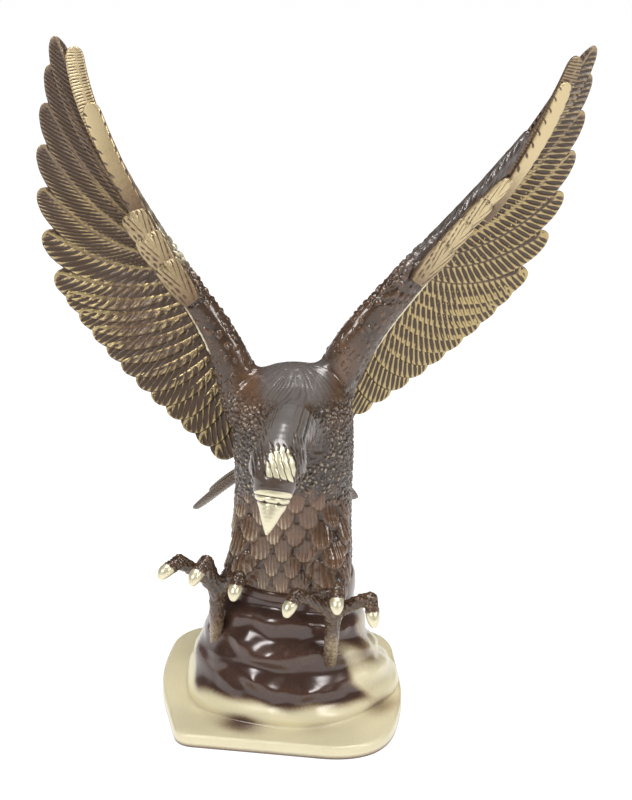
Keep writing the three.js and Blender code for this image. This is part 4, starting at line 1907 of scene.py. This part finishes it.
@dataclass(frozen=True)
class Plinth:
    """The cast rock: five worn terraces on a plate with rounded corners."""

    corners: tuple[tuple[float, float, float], ...] = (
        (-51, -44, 7),
        (43, -60, 30),
        (53, -8, 16),
        (48, 60, 24),
        (-56, 64, 24),
        (-63, 10, 22),
    )
    plate: float = 6.5
    edge: float = 1.6
    centre: tuple[float, float] = (0.0, 8.0)
    terraces: tuple[tuple[float, float], ...] = ((48.5, 13), (44.5, 24), (40, 36.5), (35, 49), (29.5, 66))
    angles: int = 240
    step: float = 0.75
    corner_points: int = 24
    fall_bearing: float = math.radians(212)
    crisp_bearing: float = math.radians(-55)

    def outline(self) -> np.ndarray:
        """Returns the plate's outline as points about its middle.

        Returns:
            The points in order, anticlockwise from above.
        """
        corners = np.array([c[:2] for c in self.corners])
        path = []
        for n, (x, y, reach) in enumerate(self.corners):
            here = np.array([x, y])
            before = corners[n - 1] - here
            after = corners[(n + 1) % len(corners)] - here
            a = here + before / np.linalg.norm(before) * reach
            b = here + after / np.linalg.norm(after) * reach
            for t in np.linspace(0, 1, self.corner_points):
                path.append(a * (1 - t) ** 2 + here * 2 * t * (1 - t) + b * t * t)
        return np.array(path) - np.array(self.centre)

    def plate_radius(self, turns: np.ndarray) -> np.ndarray:
        """Returns how far the plate's outline lies from the middle in each direction.

        Args:
            turns: the directions, in radians.

        Returns:
            The distances.
        """
        path = self.outline()
        ahead = np.roll(path, -1, axis=0) - path
        radii = []
        for turn in turns:
            d = np.array([math.cos(turn), math.sin(turn)])
            cross = d[0] * ahead[:, 1] - d[1] * ahead[:, 0]
            cross = np.where(np.abs(cross) < 1e-12, 1e-12, cross)
            t = (path[:, 0] * ahead[:, 1] - path[:, 1] * ahead[:, 0]) / cross
            s = (path[:, 0] * d[1] - path[:, 1] * d[0]) / cross
            hit = (t > 0) & (s >= -1e-6) & (s <= 1 + 1e-6)
            radii.append(t[hit].max())
        return np.array(radii)

    @staticmethod
    def lobes(turn: np.ndarray, height: np.ndarray | float) -> np.ndarray:
        """Returns how the rock's radius swells round it at a height."""
        return 1 + 0.035 * np.cos(2 * turn) + 0.018 * np.cos(5 * turn + 2.4 * height / SEAT)

    def profile(self) -> np.ndarray:
        """Returns the rock's profile as close rows of radius and height.

        Returns:
            The rows, from the foot to the middle of the top.
        """
        rows, foot = [], self.plate / 2
        for radius, top in self.terraces[:-1]:
            rows += [(radius, foot), (radius, top - 2), (radius - 2, top)]
            foot = top + 3
        radius, top = self.terraces[-1]
        rows += [(radius, foot), (radius, top - 2), (28.5, top), (14, top), (0, top)]
        fine: list[tuple[float, float]] = []
        for (r0, z0), (r1, z1) in zip(rows, rows[1:]):
            count = max(int(math.hypot(r1 - r0, z1 - z0) / self.step), 1)
            fine += [(r0 + (r1 - r0) * k / count, z0 + (z1 - z0) * k / count) for k in range(count)]
        return np.array([row for row in fine if row[1] > self.plate - 0.4 or row[0] < 40], dtype=float)

    def plate_rings(self, turns: np.ndarray) -> list[Ring]:
        """Returns the plate's rings, from its underside to the foot of the rock.

        Args:
            turns: the directions of a ring's corners.

        Returns:
            The rings.
        """
        plate, level = self.plate_radius(turns), np.ones(len(turns))
        flat = 0.5
        rings = [(plate * share, 0 * level, flat) for share in (0.25, 0.5, 0.75, 0.92)]
        lower = self.edge * 0.6
        for t in np.linspace(0, np.pi / 2, 5):
            rings.append((plate - lower * (1 - np.sin(t)), level * lower * (1 - np.cos(t)), flat))
        rings += [(plate, level * height, flat) for height in (2.6, 4.0)]
        for t in np.linspace(0, np.pi / 2, 7):
            inset, drop = self.edge * (1 - np.cos(t)), self.edge * (1 - np.sin(t))
            rings.append((plate - inset, level * (self.plate - drop), flat))
        foot = self.terraces[0][0] * self.lobes(turns, self.plate)
        for share in np.linspace(0.12, 0.95, 9):
            rings.append(((plate - self.edge) * (1 - share) + foot * share, level * self.plate, flat))
        return rings

    def rock_rings(self, turns: np.ndarray) -> list[Ring]:
        """Returns the rock's rings from its foot to its top, crisp on one side and worn on the other.

        Args:
            turns: the directions of a ring's corners.

        Returns:
            The rings.
        """
        radius, height = self.profile().T
        proud = self.smooth(radius, 1.5) - self.smooth(radius, 6.0)
        relief = 0.5 + 0.2 * np.clip(proud / 1.2, -1, 1)
        crisp = zip(self.smooth(radius, 2.2), self.smooth(height, 2.4))
        soft = zip(self.smooth(radius, 7.5), self.smooth(height, 3.0))
        rings = []
        for (sharp_r, z), (soft_r, soft_z), level in zip(crisp, soft, relief):
            facing = np.cos(turns - self.crisp_bearing) + 0.55 * np.sin(z / 8.5 + 2.2 * turns)
            facing += 0.25 * np.sin(5 * turns + z / 5)
            plain = ease(0.35 - facing, 0, 0.9) * 0.85
            r = sharp_r + (soft_r - sharp_r) * plain
            at = z + (soft_z - z) * plain
            share = np.sin(np.pi * min(max(z - 8, 0) / 52, 1)) ** 0.7
            fall = 4.5 + 5.0 * z / SEAT
            dip = fall * np.cos(turns - self.fall_bearing) + 1.5 * np.sin(2 * turns + z / 13 + 0.6)
            dip += 0.9 * np.sin(3 * turns + z / 8)
            worn = 0.7 * np.sin(4 * turns + z / 9) + 0.4 * np.sin(7 * turns - z / 7 + 1)
            worn += 0.14 * np.sin(12 * turns + z / 4)
            reach, rise = r * self.lobes(turns, at) + share * worn, at + share * dip
            spots = np.stack([reach * np.cos(turns), reach * np.sin(turns), rise * 1.6], axis=1)
            lumps = share * 2.4 * (pebbles(spots, 19.0, 1.0) - 0.45)
            rings.append((reach + lumps, rise, float(level)))
        return rings

    def build(self, material: bpy.types.Material) -> bpy.types.Object:
        """Makes the plinth.

        Args:
            material: its material.

        Returns:
            The piece.
        """
        angles = self.angles // 1
        turns = np.linspace(-np.pi, np.pi, angles, endpoint=False)
        rings = [*self.plate_rings(turns), *self.rock_rings(turns)[:-1]]
        cx, cy = self.centre
        rows = [np.stack([cx + r * np.cos(turns), cy + r * np.sin(turns), z], axis=1) for r, z, _ in rings]
        points = np.vstack([[(cx, cy, 0.0)], *rows, [(cx, cy, SEAT - 0.1)]])
        points[:, 2] = np.minimum(points[:, 2], SEAT)
        relief = np.concatenate([[0.5], np.repeat([level for _, _, level in rings], angles), [0.5]])

        start = 1 + np.arange(angles)
        ahead = np.roll(start, -1)
        faces = np.stack([0 * start, ahead, start], axis=1).tolist()
        for ring in range(len(rings) - 1):
            low, high = start + ring * angles, ahead + ring * angles
            faces += np.stack([low, high, high + angles, low + angles], axis=1).tolist()
        base = (len(rings) - 1) * angles
        faces += np.stack([start + base, ahead + base, 0 * start + len(points) - 1], axis=1).tolist()
        values = {"relief": relief, "polish": self.rubbed(points)}
        return mesh_from("plinth_rock", points, faces, material, values)

    @staticmethod
    def smooth(values: np.ndarray, width: float) -> np.ndarray:
        """Blurs a profile's values along it, with its ends held.

        Args:
            values: the values along the profile.
            width: how many of its rows the blur reaches.

        Returns:
            The blurred values.
        """
        reach = int(width * 3)
        kernel = np.exp(-((np.arange(-reach, reach + 1) / width) ** 2) / 2)
        padded = np.concatenate([np.full(reach, values[0]), values, np.full(reach, values[-1])])
        return np.convolve(padded, kernel / kernel.sum(), mode="valid")

    @staticmethod
    def rubbed(points: np.ndarray) -> np.ndarray:
        """Works out how far the lacquer is rubbed away, with a painted contact shadow along the plate's foot.

        Args:
            points: the plinth's corners.

        Returns:
            The polish, which is lowest on the rock's front and top, in stains at its foot, and along the plate's
            bottom edge as a painted contact shadow.
        """
        x, y, z = points.T
        turn = np.arctan2(x - 4, -(y - 8))
        wander = 0.2 * np.sin(5 * turn + z / 9 + 1.0) + 0.14 * np.sin(11 * turn + z / 5)
        wander += 0.1 * np.sin(z / 3.1 + 2 * turn)
        front = 1 - ease(np.abs(turn + 0.28) + wander, 0.7, 1.35)
        on_rock = ease(z + 5 * wander + 3 * np.sin(2 * turn - 0.8), 10, 17)
        lacquer = on_rock * np.clip(front + ease(z, 16, 56) * 0.75, 0, 1)
        stain = 0.9 * bump(turn, -0.55, 0.2) + 0.6 * bump(turn, 0.95, 0.22) + 0.25 * bump(turn, 0.2, 0.2)
        stain *= bump(z, 7.5, 3.0) * ease(np.hypot(x, y - 8), 60, 50)
        # The last term paints a contact shadow: a thin dark line along the plate's bottom edge, where it meets
        # the floor
        polish = 1.2 - 1.28 * lacquer - 1.1 * stain - 1.1 * (1 - ease(z, 0.5, 1.7))
        return np.clip(polish, 0, 1.3)


# ---------------------------------------------------------------- the stage


@dataclass(frozen=True)
class Studio:
    """A plain pale floor under soft light from large panels."""

    floor_size: float = 60.0
    floor_grey: float = 0.2
    sky: float = 1.0
    shade: float = 0.42
    glow: float = 0.97
    panels: tuple[tuple[Vec, float, float], ...] = (
        ((-0.75, -0.9, 0.95), 0.45, 9.0),
        ((0.95, -0.7, 0.75), 0.35, 5.0),
        ((0.1, 0.1, 1.5), 0.8, 17.0),
    )
    panels_face: Vec = (0.0, 0.0, 0.15)
    focal_pixels: float = 1800.0
    picture_pixels: float = 800.0
    camera_at: Vec = (0.012, -0.751754, 0.423616)
    looks_down: float = 20.0

    def light(self) -> None:
        """Sets the sky and the light panels."""
        world = bpy.data.worlds.new("studio")
        world.use_nodes = True
        tree = world.node_tree
        way = tree.nodes.new("ShaderNodeTexCoord")
        parts = tree.nodes.new("ShaderNodeSeparateXYZ")
        tree.links.new(way.outputs["Generated"], parts.inputs[0])
        ahead, up = Value(tree, parts.outputs[1]), Value(tree, parts.outputs[2])
        rise = (up * 0.7 + ahead * 0.7).ease(-0.25, 0.6)
        (rise * (self.sky - self.shade) + self.shade).feed(tree.nodes["Background"].inputs["Strength"])
        bpy.context.scene.world = world
        bpy.context.scene.view_settings.view_transform = "Standard"
        for n, (place, size, power) in enumerate(self.panels):
            lamp = bpy.data.lights.new(f"panel_{n}", "AREA")
            lamp.size = size
            lamp.energy = power
            panel = shown(f"panel_{n}", lamp)
            panel.location = place
            aim = Vector(self.panels_face) - Vector(place)
            panel.rotation_euler = aim.to_track_quat("-Z", "Y").to_euler()

    def floor(self) -> bpy.types.Object:
        """Makes the floor.

        Returns:
            The floor, which is stage and no part of the object.
        """
        half = self.floor_size / 2
        mesh = bpy.data.meshes.new("floor")
        corners = [(-half, -half, 0), (half, -half, 0), (half, half, 0), (-half, half, 0)]
        mesh.from_pydata(corners, [], [(0, 1, 2, 3)])
        material = bpy.data.materials.new("floor_white")
        material.use_nodes = True
        shader = material.node_tree.nodes["Principled BSDF"]
        shader.inputs["Base Color"].default_value = (self.floor_grey, self.floor_grey, self.floor_grey, 1)
        shader.inputs["Roughness"].default_value = 0.9
        shader.inputs["Specular IOR Level"].default_value = 0.1
        shader.inputs["Emission Color"].default_value = (1, 1, 1, 1)
        shader.inputs["Emission Strength"].default_value = self.glow
        mesh.materials.append(material)
        return shown("floor", mesh)

    def camera(self) -> None:
        """Sets the camera as the photograph was taken."""
        data = bpy.data.cameras.new("camera")
        data.sensor_fit = "VERTICAL"
        data.angle = 2 * math.atan(self.picture_pixels / 2 / self.focal_pixels)
        camera = shown("camera", data)
        camera.location = self.camera_at
        camera.rotation_euler = (math.radians(90 - self.looks_down), 0, 0)
        bpy.context.scene.camera = camera


def write_sizes() -> None:
    """Works out the solids' box and the drawn model's box as plain lists of numbers, which are not written
    anywhere.
    """
    boxes = {"cad": SOLID_BOUNDS, "visual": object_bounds()}
    plain = {name: [[float(v) for v in corner] for corner in box] for name, box in boxes.items()}


DRESSED = Patina(
    "antique_brass",
    brass=(0.86, 0.79, 0.56),
    metal=0.6,
    lacquer_roughness=0.26,
    coat_roughness=0.13,
)
FEATHERED = Patina(
    "feather_brass",
    lacquer=(0.085, 0.053, 0.033),
    warm=(0.24, 0.142, 0.078),
    grey_and_sheen=(0.20, 0.165, 0.155),
    brass=(0.52, 0.405, 0.20),
    tarnish=(0.27, 0.185, 0.09),
    low=0.5,
    high=1.1,
    coat=0.1,
    grain=0.6,
    brass_roughness=0.4,
    lacquer_roughness=0.36,
)
FINGERED = Patina(
    "finger_brass",
    brass=(0.70, 0.56, 0.32),
    tarnish=(0.35, 0.24, 0.10),
    lacquer=(0.095, 0.058, 0.033),
    warm=(0.24, 0.145, 0.075),
    metal=0.6,
    low=0.3,
    high=1.2,
    coat=0.2,
    grain=0.5,
    lacquer_roughness=0.36,
)
LACQUERED = Patina(
    "lacquered_brass",
    lacquer=(0.075, 0.040, 0.031),
    warm=(0.19, 0.10, 0.062),
    brass=(0.93, 0.84, 0.56),
    tarnish=(0.76, 0.56, 0.28),
    metal=0.06,
    brass_roughness=0.42,
    lacquer_roughness=0.22,
    coat=0.5,
    coat_roughness=0.2,
    pitting=0.05,
    low=0.15,
    high=1.4,
)
WINGS = (
    Wing(Hand.LEFT, (-21.8, 5, 96), spread=26.9, lean=5, sweep=0, size=0.945, swell=-0.9, taper=0.37),
    Wing(Hand.RIGHT, (23.2, 5, 100), spread=37.3, lean=5, sweep=33, size=1.0, swell=1.2, taper=0.47),
)
TALONS = (
    Talon(
        Hand.LEFT,
        hub=(-32.5, -20, 0.8),
        toes=(
            ((-48.5, -27, 17.6), (-56, -33, 13.6)),
            ((-36.6, -29.5, 18.4), (-42, -38, 13)),
            ((-22.5, -27, 9.6), (-24.4, -34, 3.6)),
        ),
        hind=(-34, -8),
        ledge=-31.5,
    ),
    Talon(
        Hand.RIGHT,
        hub=(19.5, -36, -4),
        toes=(
            ((3.4, -44, 9.6), (-0.6, -50, 3.6)),
            ((21, -46, 12.6), (21, -53.5, 6.8)),
            ((35.8, -42, 6.6), (37.2, -47.5, -2.6)),
        ),
        hind=(18.3, -24.5),
        ledge=-33.5,
    ),
)


def build_eagle() -> list[bpy.types.Object]:
    """Makes the eagle's pieces: body and head, then each wing, the tail and the feet.

    Returns:
        The pieces, at the origin.
    """
    dressed, feathered, fingered = (finish.material() for finish in (DRESSED, FEATHERED, FINGERED))
    cutter = FeatherCutter()
    body = Body()
    pelt = Pelt(body, WINGS, dressed)
    made = [pelt.trunk(), pelt.head()]
    for wing in WINGS:
        word = wing.hand.name.lower()
        made.append(pelt.arm(wing))
        flight = cutter.cut(wing.flight(), f"eagle_flight_{word}", feathered)
        wing.weather(flight)
        made += [flight, cutter.cut(wing.fingers(), f"eagle_fingers_{word}", fingered)]
    made.append(cutter.cut(Tail().feathers(), "eagle_tail", feathered))
    for n, talon in enumerate(TALONS):
        made.append(talon.piece(f"eagle_foot_{talon.hand.name.lower()}", body.leg(n)[1], pelt))
    return made


def main() -> None:
    """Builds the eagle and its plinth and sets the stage."""
    logging.basicConfig(level=logging.INFO)
    pieces = [(piece, "eagle", "antique_brass") for piece in build_eagle()]
    pieces.append((Plinth().build(LACQUERED.material()), "rock_plinth", "lacquered_brass"))
    for piece, node, slot in pieces:
        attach(piece, BODY)
        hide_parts(node)
        LOG.info("%s: %d faces in place of %s", piece.name, len(piece.data.polygons), node)
    studio = Studio()
    studio.light()
    studio.camera()
    studio.floor()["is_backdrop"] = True
    write_sizes()


if __name__ == "__main__":
    main()
